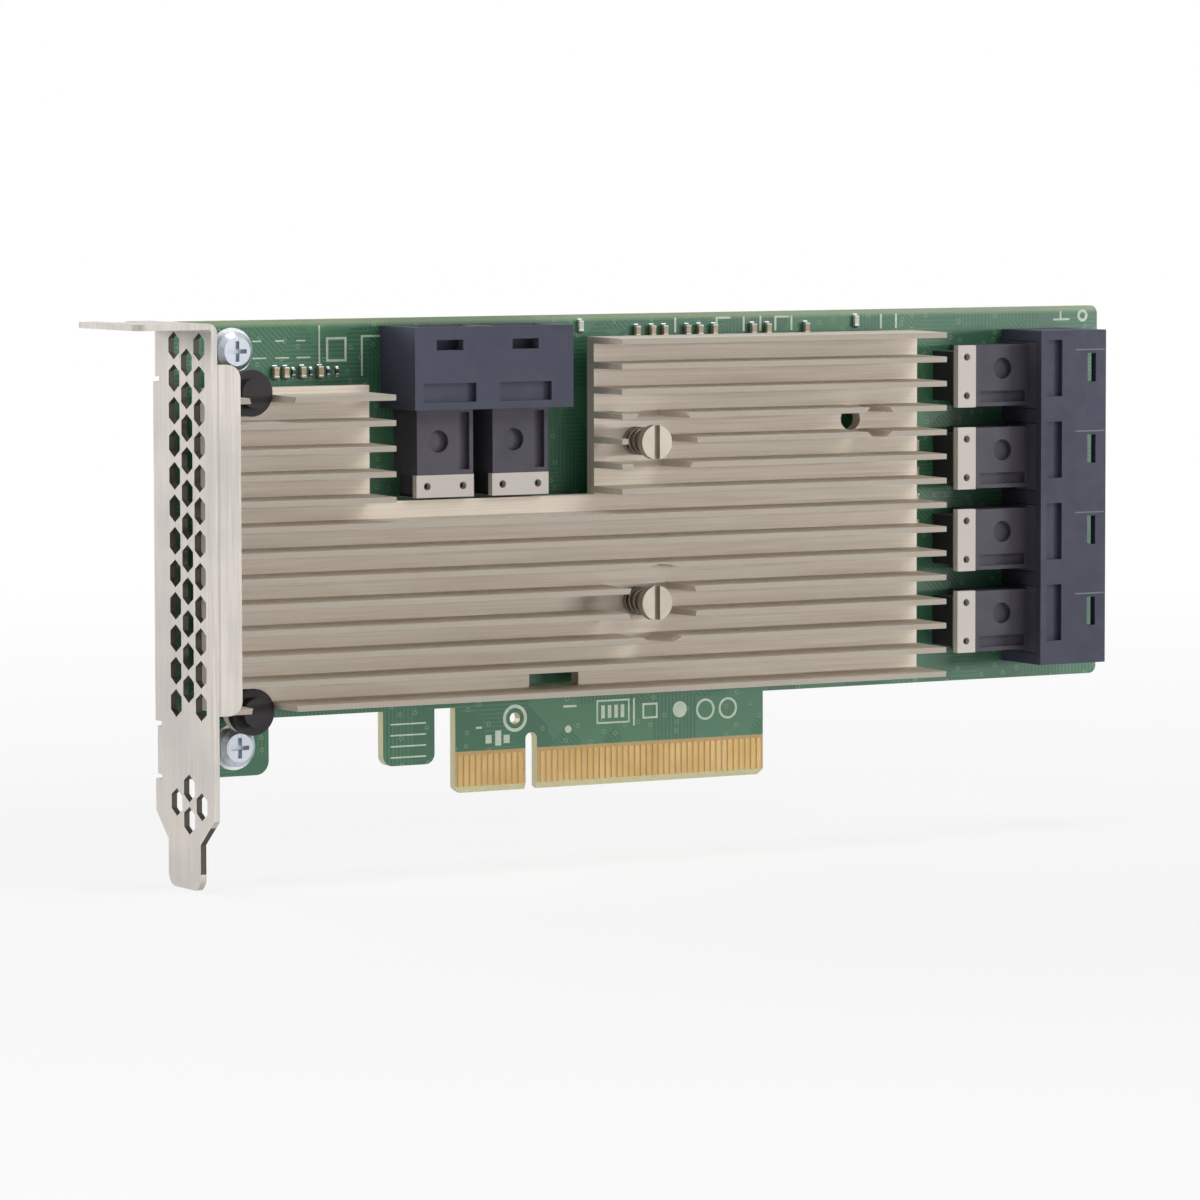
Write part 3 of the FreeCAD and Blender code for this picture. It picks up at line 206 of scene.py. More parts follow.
def add_vias(finish, flat, mask):
    """The mask's colour with small drilled vias in it, and their rings as a height."""
    drilled_over, drill_radius, ring_radius = 0.6, 0.08, 0.17
    drill_share, ring_share = 0.7, 0.4
    near, tint = flat_cells(finish, flat, 480, "EUCLIDEAN")
    drilled = finish.sum("GREATER_THAN", tint[0], drilled_over)
    drill = finish.sum("MULTIPLY", drilled, finish.sum("LESS_THAN", near, drill_radius))
    ring = finish.sum("MULTIPLY", drilled, finish.sum("LESS_THAN", near, ring_radius))
    mask = finish.blend(finish.sum("MULTIPLY", ring, ring_share), mask, linear(150, 182, 150))
    return finish.blend(finish.sum("MULTIPLY", drill, drill_share), mask, linear(28, 52, 38)), ring


def add_top_edge_highlight(finish, z, mask):
    """The mask's colour with a painted highlight along the board's top edge."""
    start, end, most = BOARD_HIGH.z - 1.1 * MM, BOARD_HIGH.z - 0.5 * MM, 0.75
    # painted highlight: a paler band just under the board's top edge
    return finish.blend(finish.spread(z, start, end, 0.0, most), mask, linear(158, 176, 140))


def add_bare_tab(finish, x, z, mask):
    """The mask's colour with bare laminate round the contacts."""
    above, beside = 0.5 * MM, 1.5 * MM
    low = finish.sum("LESS_THAN", z, CONTACT_TOP + above)
    on_tab = finish.sum("GREATER_THAN", x, CONTACT_LEFT - beside)
    laminate = finish.blend(finish.noise(700, (1, 1, 5)), linear(184, 153, 98), linear(200, 169, 114))
    return finish.blend(finish.sum("MULTIPLY", low, on_tab), mask, laminate)


def add_cut_edge(finish, mask):
    """The mask's colour on the faces, and pale fibre where the board is cut."""
    flatness = 0.97
    edge = finish.sum("LESS_THAN", finish.sum("ABSOLUTE", finish.facing()["Y"]), flatness)
    fibre = finish.blend(finish.noise(900, (1, 6, 1)), linear(200, 196, 150), linear(226, 220, 180))
    return finish.blend(edge, mask, fibre)


def board_finish():
    """Green mask over traces, pours and small vias; the tab is bare and the edge shows fibre."""
    shade_share, copper_height, ring_height = 0.12, 0.8, 0.5
    finish = Finish("board_mask", Coat_Weight=0.2, Coat_Roughness=0.3, Specular_IOR_Level=0.35)
    axes = finish.axes()
    x, z = axes["X"], axes["Z"]
    flat = finish.add("ShaderNodeCombineXYZ", {"X": x, "Y": z})
    copper = board_copper(finish, flat, x, z)
    mask = finish.blend(copper, linear(56, 106, 78), linear(72, 124, 91))
    shade = finish.spread(finish.noise(38), 0.3, 0.7)
    mask = finish.blend(finish.sum("MULTIPLY", shade, shade_share), mask, linear(58, 114, 100))
    mask, ring = add_vias(finish, flat, mask)
    mask = add_top_edge_highlight(finish, z, mask)
    mask = add_bare_tab(finish, x, z, mask)
    finish.colour(add_cut_edge(finish, mask))
    copper_rise = finish.sum("MULTIPLY", copper, copper_height)
    ring_rise = finish.sum("MULTIPLY", ring, ring_height)
    finish.bump(finish.sum("ADD", copper_rise, ring_rise), 0.03 * MM, 0.6)
    finish.rough(finish.noise(400), 0.34, 0.46)
    return finish.material


def sink_finish():
    """Champagne anodising with fine lines along the extrusion; the fins' front tips are a darker tone."""
    line_share, tip_share, tip_height = 0.35, 0.8, 0.12 * MM
    finish = Finish("sink_anodised", metal=0.15, Specular_IOR_Level=0.3)
    along = finish.noise(4, (12, 900, 900), 4.0, 0.6)
    patches = finish.patches(30, (0.6, 1, 2))
    base = finish.blend(patches, linear(222, 212, 198), linear(231, 221, 208))
    base = finish.blend(finish.spread(along, 0.35, 0.65, 0.0, line_share), base, linear(192, 180, 165))
    tips = finish.sum("LESS_THAN", finish.axes()["Y"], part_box("heat_sink")[0].y + tip_height)
    finish.colour(finish.blend(finish.sum("MULTIPLY", tips, tip_share), base, linear(158, 149, 137)))
    finish.rough(along, 0.5, 0.64)
    finish.bump(along, 0.02 * MM)
    return finish.material


def vent_wall_shade(finish):
    """1 inside the thickness of the bracket's perforated plate, where shade is painted, 0 on its faces and
    folds.
    """
    sheet, margin, flatness = 0.9 * MM, 1.2 * MM, 0.5
    low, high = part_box("io_bracket")
    limits = {
        "X": (PLATE_OUTER, PLATE_OUTER + sheet),
        "Y": (low.y + margin, high.y - margin),
        "Z": (low.z + 2 * margin, high.z - margin),
    }
    axes = finish.axes()
    cut = finish.sum("LESS_THAN", finish.sum("ABSOLUTE", finish.facing()["X"]), flatness)
    for axis, (floor, ceiling) in limits.items():
        over = finish.sum("GREATER_THAN", axes[axis], floor)
        under = finish.sum("LESS_THAN", axes[axis], ceiling)
        cut = finish.sum("MULTIPLY", cut, finish.sum("MULTIPLY", over, under))
    return cut


def steel_finish(name, first, second, rough, shade_vents=False):
    """Plated sheet steel with a rolled grain and faint clouding; the walls of its vent holes carry painted
    shade.
    """
    line_share = 0.22
    finish = Finish(name, metal=0.75)
    rolled = finish.noise(6, (500, 500, 14), 3.0, 0.6)
    base = finish.blend(finish.patches(90, detail=5.0), linear(*first), linear(*second))
    base = finish.blend(finish.spread(rolled, 0.3, 0.7, 0.0, line_share), base, linear(150, 148, 146))
    if shade_vents:
        # painted shade on the walls of the vent holes
        base = finish.blend(vent_wall_shade(finish), base, linear(84, 80, 72))
    finish.colour(base)
    finish.rough(rolled, *rough)
    finish.bump(rolled, 0.012 * MM)
    return finish.material


def gold_finish():
    """Hard gold with warm clouding and fine wear lines in the direction of insertion."""
    wear_share = 0.4
    finish = Finish("contact_gold", metal=0.9)
    wear = finish.noise(5, (700, 700, 18), 3.0)
    base = finish.blend(finish.patches(260), linear(164, 136, 86), linear(178, 150, 102))
    finish.colour(finish.blend(finish.spread(wear, 0.4, 0.7, 0.0, wear_share), base, linear(150, 114, 70)))
    finish.rough(wear, 0.26, 0.42)
    finish.bump(wear, 0.006 * MM)
    return finish.material


def organizer_finish():
    """Pale moulded plates; the walls behind them, in the shade of the carriers, are dark."""
    plate_depth, shade_depth = 1.0 * MM, 0.4 * MM
    finish = Finish("organizer_white", Specular_IOR_Level=0.25)
    pale = finish.blend(finish.noise(90), linear(218, 211, 204), linear(206, 199, 191))
    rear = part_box("top_port_tail_organizers")[0].y + plate_depth
    behind = finish.spread(finish.axes()["Y"], rear, rear + shade_depth)
    finish.colour(finish.blend(behind, pale, linear(46, 44, 48)))
    grain = finish.noise(800)
    finish.rough(grain, 0.5, 0.62)
    finish.bump(grain, 0.01 * MM)
    return finish.material


MATT = {"Specular_IOR_Level": 0.25}
GRAIN = 0.012 * MM
ORGANIZER = organizer_finish()
BOARD = board_finish()
SINK = sink_finish()
GOLD = gold_finish()
BRACKET = steel_finish("bracket_steel", (202, 196, 189), (190, 185, 180), (0.6, 0.72), True)
SCREW = steel_finish("screw_steel", (196, 202, 212), (176, 182, 192), (0.24, 0.38))
PORT = plain_finish("port_slate", (62, 64, 80), (72, 73, 90), 60, (0.5, 0.62), depth=GRAIN, **MATT)
SEAM = plain_finish("port_seam", (112, 112, 128), (122, 121, 137), 200, (0.5, 0.62), **MATT)
CARRIER = plain_finish("carrier_slate", (73, 71, 80), (84, 81, 90), 80, (0.52, 0.64), depth=GRAIN, **MATT)
RIVET = plain_finish("rivet_black", (36, 32, 36), (47, 42, 45), 120, (0.42, 0.56), depth=0.02 * MM, **MATT)
PIN = plain_finish("pin_nickel", (176, 167, 154), (160, 150, 137), 200, (0.34, 0.5), metal=0.5)
SPRING = plain_finish("spring_steel", (140, 134, 126), (116, 110, 102), 300, (0.3, 0.46), metal=0.8)
SUBSTRATE = plain_finish("substrate_green", (44, 84, 58), (56, 98, 70), 150, (0.4, 0.55))
LID = plain_finish("lid_nickel", (178, 178, 176), (194, 194, 192), 120, (0.3, 0.45), metal=0.85)
PAD = plain_finish("pad_grey", (132, 134, 138), (146, 148, 152), 200, (0.7, 0.85), depth=0.02 * MM)
CERAMIC = plain_finish("capacitor_ceramic", (192, 172, 142), (208, 190, 162), 900, (0.45, 0.6))
RESISTOR = plain_finish("resistor_black", (36, 36, 40), (48, 48, 52), 900, (0.3, 0.45))
TIN = plain_finish("tinned_end", (214, 216, 218), (196, 198, 200), 1200, (0.25, 0.4), metal=0.85)
SOLDER = plain_finish("solder", (206, 208, 210), (184, 187, 190), 1500, (0.2, 0.36), metal=0.9)
LAMP = plain_finish("lamp_clear", (226, 228, 214), (212, 216, 200), 800, (0.15, 0.3), Coat_Weight=0.5)
COIL = plain_finish("coil_grey", (84, 84, 88), (98, 98, 102), 500, (0.6, 0.75), depth=0.03 * MM)
PACKAGE = plain_finish("package_black", (34, 34, 38), (44, 44, 48), 400, (0.45, 0.6), depth=0.01 * MM)
CAN = plain_finish("crystal_can", (198, 198, 200), (182, 182, 186), 500, (0.22, 0.36), metal=0.9)
PRINT = plain_finish("board_print", (214, 226, 210), (196, 212, 194), 900, (0.5, 0.65))

FINISHES = {
    "circuit_board": BOARD,
    "edge_contacts_component_side": GOLD,
    "edge_contacts_solder_side": GOLD,
    "io_bracket": BRACKET,
    "bracket_screws": SCREW,
    "heat_sink": SINK,
    "sink_spring_pins": PIN,
    "sink_pin_springs": SPRING,
    "corner_rivets": RIVET,
    "controller_substrate": SUBSTRATE,
    "controller_lid": LID,
    "thermal_pad": PAD,
    "top_port_shell": PORT,
    "side_port_shell": PORT,
    "top_port_contact_carriers": CARRIER,
    "side_port_contact_carriers": CARRIER,
    "top_port_tail_organizers": ORGANIZER,
    "side_port_tail_organizers": ORGANIZER,
    "top_port_contacts": GOLD,
    "side_port_contacts": GOLD,
    "capacitors_component_side": CERAMIC,
    "capacitors_solder_side": CERAMIC,
    "resistors_component_side": RESISTOR,
    "resistors_solder_side": RESISTOR,
    "status_lamps": LAMP,
    "power_inductors": COIL,
    "voltage_regulators": PACKAGE,
    "flash_memory": PACKAGE,
    "settings_memory": PACKAGE,
    "sense_chip": PACKAGE,
    "clock_crystal": CAN,
}


def give_finishes():
    """Puts each node's material into all of its slots."""
    for name, finish in FINISHES.items():
        slots = NODES[name].data.materials
        if len(slots) == 0:
            slots.append(finish)
        for index in range(len(slots)):
            slots[index] = finish


# --- meshes -----------------------------------------------------------------------------------


def make_piece(name, mesh, finishes, replaces=()):
    """Makes a visible piece of the card from a bmesh, riding on its one body."""
    data = bpy.data.meshes.new(name)
    mesh.to_mesh(data)
    mesh.free()
    for finish in finishes:
        data.materials.append(finish)
    piece = bpy.data.objects.new(name, data)
    bpy.context.scene.collection.objects.link(piece)
    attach(piece, "root")
    if replaces:
        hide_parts(*replaces)


def corners(first, second):
    """The lowest and the highest corner of the box between two points."""
    low = Vector(min(pair) for pair in zip(first, second))
    high = Vector(max(pair) for pair in zip(first, second))
    return low, high


def long_axis(low, high):
    """0 for a box that is longer along X than along Z, and 2 for any other."""
    size = high - low
    return 0 if size.x > size.z else 2


def board_face(side):
    """The depth of the board's component side (-1) or solder side (1)."""
    return FRONT if side < 0 else BACK


def add_box(mesh, low, high, finish=0, bevel=0.0):
    """A box between two corners, its edges rounded by bevel."""
    middle = (low + high) / 2
    size = high - low
    matrix = Matrix.Translation(middle) @ Matrix.Diagonal((*size, 1))
    made = bmesh.ops.create_cube(mesh, size=1, matrix=matrix)["verts"]
    faces = {face for vert in made for face in vert.link_faces}
    if bevel:
        edges = {edge for vert in made for edge in vert.link_edges}
        rounded = bmesh.ops.bevel(
            mesh, geom=list(edges), offset=bevel, segments=2, profile=0.6, affect="EDGES"
        )
        faces = set(rounded["faces"]) | {face for face in faces if face.is_valid}
    for face in faces:
        face.material_index = finish
        face.smooth = bool(bevel)


def add_prism(mesh, outline, depth, finish=0):
    """A prism from an outline of points, carried along a depth vector."""
    near = [mesh.verts.new(point) for point in outline]
    far = [mesh.verts.new(point + depth) for point in outline]
    count = len(outline)
    faces = [mesh.faces.new(near), mesh.faces.new(list(reversed(far)))]
    for step in range(count):
        after = (step + 1) % count
        faces.append(mesh.faces.new((near[step], far[step], far[after], near[after])))
    for face in faces:
        face.material_index = finish
    bmesh.ops.recalc_face_normals(mesh, faces=faces)


def add_ring(mesh, centre, inner, outer, thick, finish=0, segments=32):
    """A flat ring, or a disc with no inner radius, that lies on a face of the board."""
    flat, lift = Vector((0, 0, 0)), Vector((0, thick, 0))
    turns = [2 * math.pi * step / segments for step in range(segments)]
    faces = []

    def loop(radius, rise):
        spokes = [Vector((radius * math.cos(turn), 0, radius * math.sin(turn))) for turn in turns]
        return [mesh.verts.new(centre + rise + spoke) for spoke in spokes]

    def band(first, second):
        for step in range(segments):
            after = (step + 1) % segments
            faces.append(mesh.faces.new((first[step], first[after], second[after], second[step])))

    outer_low, outer_high = loop(outer, flat), loop(outer, lift)
    band(outer_low, outer_high)
    if inner:
        inner_low, inner_high = loop(inner, flat), loop(inner, lift)
        band(outer_high, inner_high)
        band(inner_high, inner_low)
        band(inner_low, outer_low)
    else:
        faces += [mesh.faces.new(outer_high), mesh.faces.new(list(reversed(outer_low)))]
    for face in faces:
        face.material_index = finish
    bmesh.ops.recalc_face_normals(mesh, faces=faces)


def add_tube(mesh, points, radius, sides=10):
    """A round wire through points; its cross-section turns with the path."""
    turns = [2 * math.pi * side / sides for side in range(sides)]
    rings = []
    for number, point in enumerate(points):
        before = points[max(number - 1, 0)]
        after = points[min(number + 1, len(points) - 1)]
        ahead = (after - before).normalized()
        out = ahead.cross(Vector((0, 1, 0))).normalized()
        up = out.cross(ahead)
        spokes = [out * math.cos(turn) + up * math.sin(turn) for turn in turns]
        rings.append([mesh.verts.new(point + spoke * radius) for spoke in spokes])
    for first, second in zip(rings, rings[1:]):
        for side in range(sides):
            after = (side + 1) % sides
            mesh.faces.new((first[side], first[after], second[after], second[side])).smooth = True
    mesh.faces.new(list(reversed(rings[0])))
    mesh.faces.new(rings[-1])
    bmesh.ops.recalc_face_normals(mesh, faces=mesh.faces[:])


def solid_boxes(name):
    """The lowest and highest corner of each separate solid of a CAD node."""
    data = NODES[name].data
    keys = [tuple(round(part, 6) for part in vert.co) for vert in data.vertices]
    parent = {key: key for key in keys}

    def root(key):
        while parent[key] != key:
            parent[key] = parent[parent[key]]
            key = parent[key]
        return key

    for polygon in data.polygons:
        joined = [root(keys[index]) for index in polygon.vertices]
        for key in joined[1:]:
            parent[root(key)] = root(joined[0])
    groups = {}
    for key in parent:
        groups.setdefault(root(key), []).append(key)
    boxes = []
    for points in groups.values():
        low = Vector(min(point[axis] for point in points) for axis in range(3))
        high = Vector(max(point[axis] for point in points) for axis in range(3))
        boxes.append((low, high))
    return sorted(boxes, key=lambda box: tuple(box[0]))


# --- small parts in place of plain solids -----------------------------------------------------


def add_fillet(mesh, low, high, along, sign, seat, top):
    """A hollow wedge of solder from a chip's end down to its pad."""
    reach, lap, inset = 0.28 * MM, 0.02 * MM, 0.04 * MM
    face = high[along] if sign > 0 else low[along]
    across = 2 - along
    steps = 4
    outline = []
    for step in range(steps + 1):
        share = step / steps
        point = Vector((0, seat + (top - seat) * (1 - share) ** 2, 0))
        point[along] = face + sign * (reach * share - lap * (1 - share))
        outline.append(point)
    foot = outline[0].copy()
    foot.y = seat
    outline.append(foot)
    for point in outline:
        point[across] = low[across] + inset
    depth = Vector((0, 0, 0))
    depth[across] = high[across] - low[across] - 2 * inset
    add_prism(mesh, outline, depth, 2)


def add_chip(mesh, low, high, end_share):
    """One chip part: a body, a tinned cap and a solder fillet at each end."""
    inset, body_round, cap_round = 0.03 * MM, 0.04 * MM, 0.07 * MM
    body_start, fillet_height = 0.8, 0.55
    size = high - low
    along = long_axis(low, high)
    across = 2 - along
    front = low.y < 0
    seat = high.y if front else low.y
    outward = -1 if front else 1
    end = size[along] * end_share
    body_low, body_high = low.copy(), high.copy()
    body_low[along] += end * body_start
    body_high[along] -= end * body_start
    body_low[across] += inset
    body_high[across] -= inset
    if front:
        body_low.y += inset
    else:
        body_high.y -= inset
    add_box(mesh, body_low, body_high, 0, body_round)
    for sign in (-1, 1):
        cap_low, cap_high = low.copy(), high.copy()
        if sign < 0:
            cap_high[along] = low[along] + end
        else:
            cap_low[along] = high[along] - end
        add_box(mesh, cap_low, cap_high, 1, cap_round)
        add_fillet(mesh, low, high, along, sign, seat, seat + outward * size.y * fillet_height)


def dress_chips(name, finish, end_share):
    """Chip parts with tinned ends and solder at both ends, one for each solid of a node."""
    mesh = bmesh.new()
    for low, high in solid_boxes(name):
        add_chip(mesh, low, high, end_share)
    make_piece(f"{name}_dressed", mesh, [finish, TIN, SOLDER], [name])


def add_lead(mesh, middle, seat, outward, side, sign):
    """A bent lead from a side of a package down to its pad, with solder on the pad."""
    width, thick = 0.42 * MM, 0.16 * MM
    rise = (0.8 * MM, 0.8 * MM, 0.22 * MM, 0.2 * MM)
    run = (-0.1 * MM, 0.3 * MM, 0.5 * MM, 1.02 * MM)
    pad_start, pad_end, pad_lap, pad_thick = 0.45 * MM, 1.2 * MM, 0.08 * MM, 0.05 * MM
    left = middle - width / 2
    upper = [Vector((left, seat + outward * up, side + sign * out)) for out, up in zip(run, rise)]
    lower = [Vector((left, point.y - outward * thick, point.z)) for point in upper]
    add_prism(mesh, upper + lower[::-1], Vector((width, 0, 0)), 1)
    first = Vector((left - pad_lap, seat, side + sign * pad_start))
    second = Vector((left + width + pad_lap, seat + outward * pad_thick, side + sign * pad_end))
    add_box(mesh, *corners(first, second), 2)


def dress_package(name, lead_count=4):
    """A moulded eight-lead package: a bevelled body, a dot at lead one, bent leads and solder."""
    reach, pitch, lift, body_round = 1.05 * MM, 1.27 * MM, 0.12 * MM, 0.14 * MM
    dot_inset, dot_radius, dot_thick = 0.8 * MM, 0.32 * MM, 0.01 * MM
    low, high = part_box(name)
    outward = -1 if low.y < 0 else 1
    seat = high.y if outward < 0 else low.y
    mesh = bmesh.new()
    body_low = Vector((low.x, low.y, low.z + reach))
    body_high = Vector((high.x, high.y, high.z - reach))
    if outward > 0:
        body_low.y += lift
    else:
        body_high.y -= lift
    add_box(mesh, body_low, body_high, 0, body_round)
    middle = (low + high) / 2
    for sign, side in ((-1, body_low.z), (1, body_high.z)):
        for number in range(lead_count):
            place = middle.x + (number - (lead_count - 1) / 2) * pitch
            add_lead(mesh, place, seat, outward, side, sign)
    top = body_high.y if outward > 0 else body_low.y
    dot = Vector((low.x + dot_inset, top, body_low.z + dot_inset))
    add_ring(mesh, dot, 0.0, dot_radius, outward * dot_thick, 3)
    make_piece(f"{name}_dressed", mesh, [PACKAGE, TIN, SOLDER, PRINT], [name])


def dress_springs():
    """Round-wire springs with closed end turns in place of the plain coils."""
    wire = 0.26 * MM
    turns, closed, steps = 4.6, 0.6, 30
    mesh = bmesh.new()
    for low, high in solid_boxes("sink_pin_springs"):
        middle = (low + high) / 2
        radius = (high.x - low.x) / 2 - wire
        length = high.y - low.y - 2 * wire
        points = []
        for step in range(int(turns * steps) + 1):
            turn = step / steps
            share = min(max((turn - closed) / (turns - 2 * closed), 0), 1)
            angle = 2 * math.pi * turn
            points.append(Vector((
                middle.x + radius * math.cos(angle),
                high.y - wire - length * share,
                middle.z + radius * math.sin(angle),
            )))
        add_tube(mesh, points, wire)
    make_piece("sink_pin_springs_wound", mesh, [SPRING], ["sink_pin_springs"])


# --- prints, placed in millimetres from the key notch -----------------------------------------

INK = 0.02 * MM


def on_board(x, z, side=-1):
    """A point on the component side (-1) or the solder side (1), from millimetres."""
    return Vector((x * MM, board_face(side), z * MM))


def add_bar(mesh, left, right, bottom, top, side=-1):
    """A flat printed bar on one side of the board, its edges in millimetres."""
    lift = Vector((0, INK * side, 0))
    add_box(mesh, *corners(on_board(left, bottom, side), on_board(right, top, side) + lift))


def add_frame(mesh, left, right, bottom, top, side=-1, line=0.2):
    """A printed rectangle round a part, in millimetres."""
    add_bar(mesh, left, right, bottom, bottom + line, side)
    add_bar(mesh, left, right, top - line, top, side)
    add_bar(mesh, left, left + line, bottom + line, top - line, side)
    add_bar(mesh, right - line, right, bottom + line, top - line, side)


def add_circle(mesh, x, z, inner, outer, side=-1):
    """A printed ring, or a dot with no inner radius, in millimetres."""
    add_ring(mesh, on_board(x, z, side), inner * MM, outer * MM, INK * side)


def print_over_sink(mesh):
    """Bars and a frame among the small parts over the heat sink."""
    add_bar(mesh, -34.5, -34.25, 60.6, 68.0)
    add_frame(mesh, -33.3, -30.0, 62.8, 66.3, line=0.35)
    add_bar(mesh, -27.7, -27.4, 60.7, 66.5)
    add_bar(mesh, -27.4, -23.9, 66.2, 66.5)
    for x in (-45.0, -41.4, -38.0):
        add_bar(mesh, x, x + 2.2, 63.4, 63.6)
        add_bar(mesh, x, x + 1.4, 65.8, 66.0)
    for x in (24.3, 31.4, 36.1, 39.0, 41.6, 44.4, 60.2, 62.9):
        add_bar(mesh, x, x + 0.35, 66.0, 68.2)
    for x in (33.4, 50.2, 53.4, 56.4):
        add_bar(mesh, x, x + 1.3, 65.4, 65.7)
    for x in (31.75, 41.95):
        add_bar(mesh, x, x + 2.2, 67.9, 68.2)


def print_over_tab(mesh):
    """Bars, frames, rings and dots over the contacts, one ring round the tooling hole."""
    add_frame(mesh, 11.0, 16.6, 8.9, 12.4, line=0.25)
    for step in range(4):
        add_bar(mesh, 11.8 + step * 1.1, 12.4 + step * 1.1, 9.7, 11.6)
    add_bar(mesh, 17.2, 17.5, 8.4, 12.4)
    add_frame(mesh, 18.8, 21.4, 9.3, 11.6, line=0.3)
    add_circle(mesh, 25.2, 10.4, 0.0, 1.2)
    for x in (29.6, 33.5):
        add_circle(mesh, x, 10.2, 1.25, 1.6)
    add_circle(mesh, -2.7, 10.45, 1.5, 2.0)
    add_circle(mesh, 6.2, 8.4, 0.0, 0.55)
    add_bar(mesh, 5.4, 7.6, 11.6, 11.9)
    for x, low, high in ((-9.2, 9.2, 9.5), (-7.6, 7.0, 8.2), (-6.0, 6.6, 8.8), (-4.6, 6.9, 8.1)):
        add_bar(mesh, x, x + 1.0, low, high)


def print_at_ends(mesh):
    """A ring and bars at the free end's upper corner, and lines on the hook lobe."""
    add_circle(mesh, 97.0, 67.4, 0.5, 0.95)
    add_bar(mesh, 91.6, 94.6, 66.7, 67.0)
    add_bar(mesh, 92.8, 93.1, 67.0, 68.1)
    for level in (5.6, 7.2, 8.8, 10.4):
        add_bar(mesh, -23.2, -17.4, level, level + 0.22)


def print_behind(mesh):
    """A frame and a dot at each package behind the board, and corner marks behind the controller."""
    border, dot_left, dot_up, dot_radius = 0.6, 1.3, 1.8, 0.3
    for name in ("settings_memory", "sense_chip"):
        low, high = (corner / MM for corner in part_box(name))
        add_frame(mesh, low.x - border, high.x + border, low.z - border, high.z + border, side=1)
        add_circle(mesh, low.x - dot_left, low.z + dot_up, 0.0, dot_radius, side=1)
    arm, half_line = 3, 0.1
    low, high = (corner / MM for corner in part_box("controller_substrate"))
    for x, near in ((low.x, arm), (high.x, -arm)):
        for z, up in ((low.z, arm), (high.z, -arm)):
            add_bar(mesh, *sorted((x, x + near)), z - half_line, z + half_line, side=1)
            add_bar(mesh, x - half_line, x + half_line, *sorted((z, z + up)), side=1)


def add_prints():
    """Plain printed bars, frames, rings and dots; none of them is a letter or a mark."""
    mesh = bmesh.new()
    print_over_sink(mesh)
    print_over_tab(mesh)
    print_at_ends(mesh)
    print_behind(mesh)
    make_piece("board_prints", mesh, [PRINT])


# --- seams, plating and joints ----------------------------------------------------------------


def add_seams():
    """The pale moulding lines across the front of the side ports, one over each cell."""
    cells, wall, height = 4, 0.6 * MM, 0.8
    wide, thin, rise, gap = 5.6 * MM, 0.22 * MM, 0.06 * MM, 0.3 * MM
    low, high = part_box("side_port_shell")
    pitch = (high.z - low.z - 2 * wall) / cells
    mesh = bmesh.new()
    for number in range(cells):
        level = low.z + wall + (number + height) * pitch
        start = Vector((high.x - wide, low.y - rise, level))
        add_box(mesh, start, start + Vector((wide - gap, 2 * rise, thin)))
    make_piece("side_port_seams", mesh, [SEAM])


def plate_screws(mesh):
    """Rings round the bracket's screws, wide under the heads and narrow behind the board."""
    hole, thick = 1.65 * MM, 0.03 * MM
    for low, high in solid_boxes("bracket_screws"):
        middle = (low + high) / 2
        for side, outer in ((-1, 3.3 * MM), (1, 2.2 * MM)):
            centre = Vector((middle.x, board_face(side), middle.z))
            add_ring(mesh, centre, hole, outer, side * thick)


def plate_pegs(mesh):
    """Solder round the port shells' pegs, behind the board."""
    peg_inset, inner, outer, thick = 3.6 * MM, 0.86 * MM, 1.35 * MM, 0.04 * MM
    for name in ("top_port_shell", "side_port_shell"):
        low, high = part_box(name)
        along = long_axis(low, high)
        centre = (low + high) / 2
        centre.y = BACK
        reach = (high[along] - low[along]) / 2 - peg_inset
        for sign in (-1, 1):
            place = centre.copy()
            place[along] += sign * reach
            add_ring(mesh, place, inner, outer, thick)


def plate_pins(mesh):
    """Rings round the heat sink's pins, behind the board."""
    inner, outer, thick = 2.2 * MM, 2.6 * MM, 0.02 * MM
    for low, high in solid_boxes("sink_spring_pins"):
        middle = (low + high) / 2
        add_ring(mesh, Vector((middle.x, BACK, middle.z)), inner, outer, thick)


def add_plating():
    """Tinned rings round the screws, pegs and pins."""
    mesh = bmesh.new()
    plate_screws(mesh)
    plate_pegs(mesh)
    plate_pins(mesh)
    make_piece("plated_rings", mesh, [TIN])


def add_port_joints():
    """Rows of solder joints behind the tails of each port."""
    rows, columns = 4, 9
    row_pitch, column_pitch = 0.825 * MM, 0.8625 * MM
    radius, height = 0.24 * MM, 0.12 * MM
    mesh = bmesh.new()
    for name in ("top_port_tail_organizers", "side_port_tail_organizers"):
        for low, high in solid_boxes(name):
            middle = (low + high) / 2
            along = long_axis(low, high)
            for row in range(rows):
                for column in range(columns):
                    place = Vector((middle.x, BACK, middle.z))
                    place[along] += (column - (columns - 1) / 2) * column_pitch
                    place[2 - along] += (row - (rows - 1) / 2) * row_pitch
                    add_ring(mesh, place, 0.0, radius, height, segments=10)
    make_piece("port_tail_joints", mesh, [SOLDER])


# --- studio -----------------------------------------------------------------------------------


def add_camera():
    """The photograph's view, fitted to the card's standard sizes."""
    place = (-0.4265, -0.755985, 0.0926)
    yaw, pitch, roll = (math.radians(angle) for angle in (30.12, 4.29, -0.11))
    ahead = Vector((math.sin(yaw) * math.cos(pitch), math.cos(yaw) * math.cos(pitch), -math.sin(pitch)))
    level = Vector((math.cos(yaw), -math.sin(yaw), 0))
    above = level.cross(ahead)
    right = level * math.cos(roll) + above * math.sin(roll)
    up = above * math.cos(roll) - level * math.sin(roll)
    lens = bpy.data.cameras.new("camera")
    lens.sensor_width = 36
    lens.lens = 179.55
    lens.clip_start = 0.05
    lens.clip_end = 50
    camera = bpy.data.objects.new("camera", lens)
    turn = Matrix((right, up, -ahead)).transposed().to_4x4()
    camera.matrix_world = Matrix.Translation(place) @ turn
    bpy.context.scene.collection.objects.link(camera)
    bpy.context.scene.camera = camera


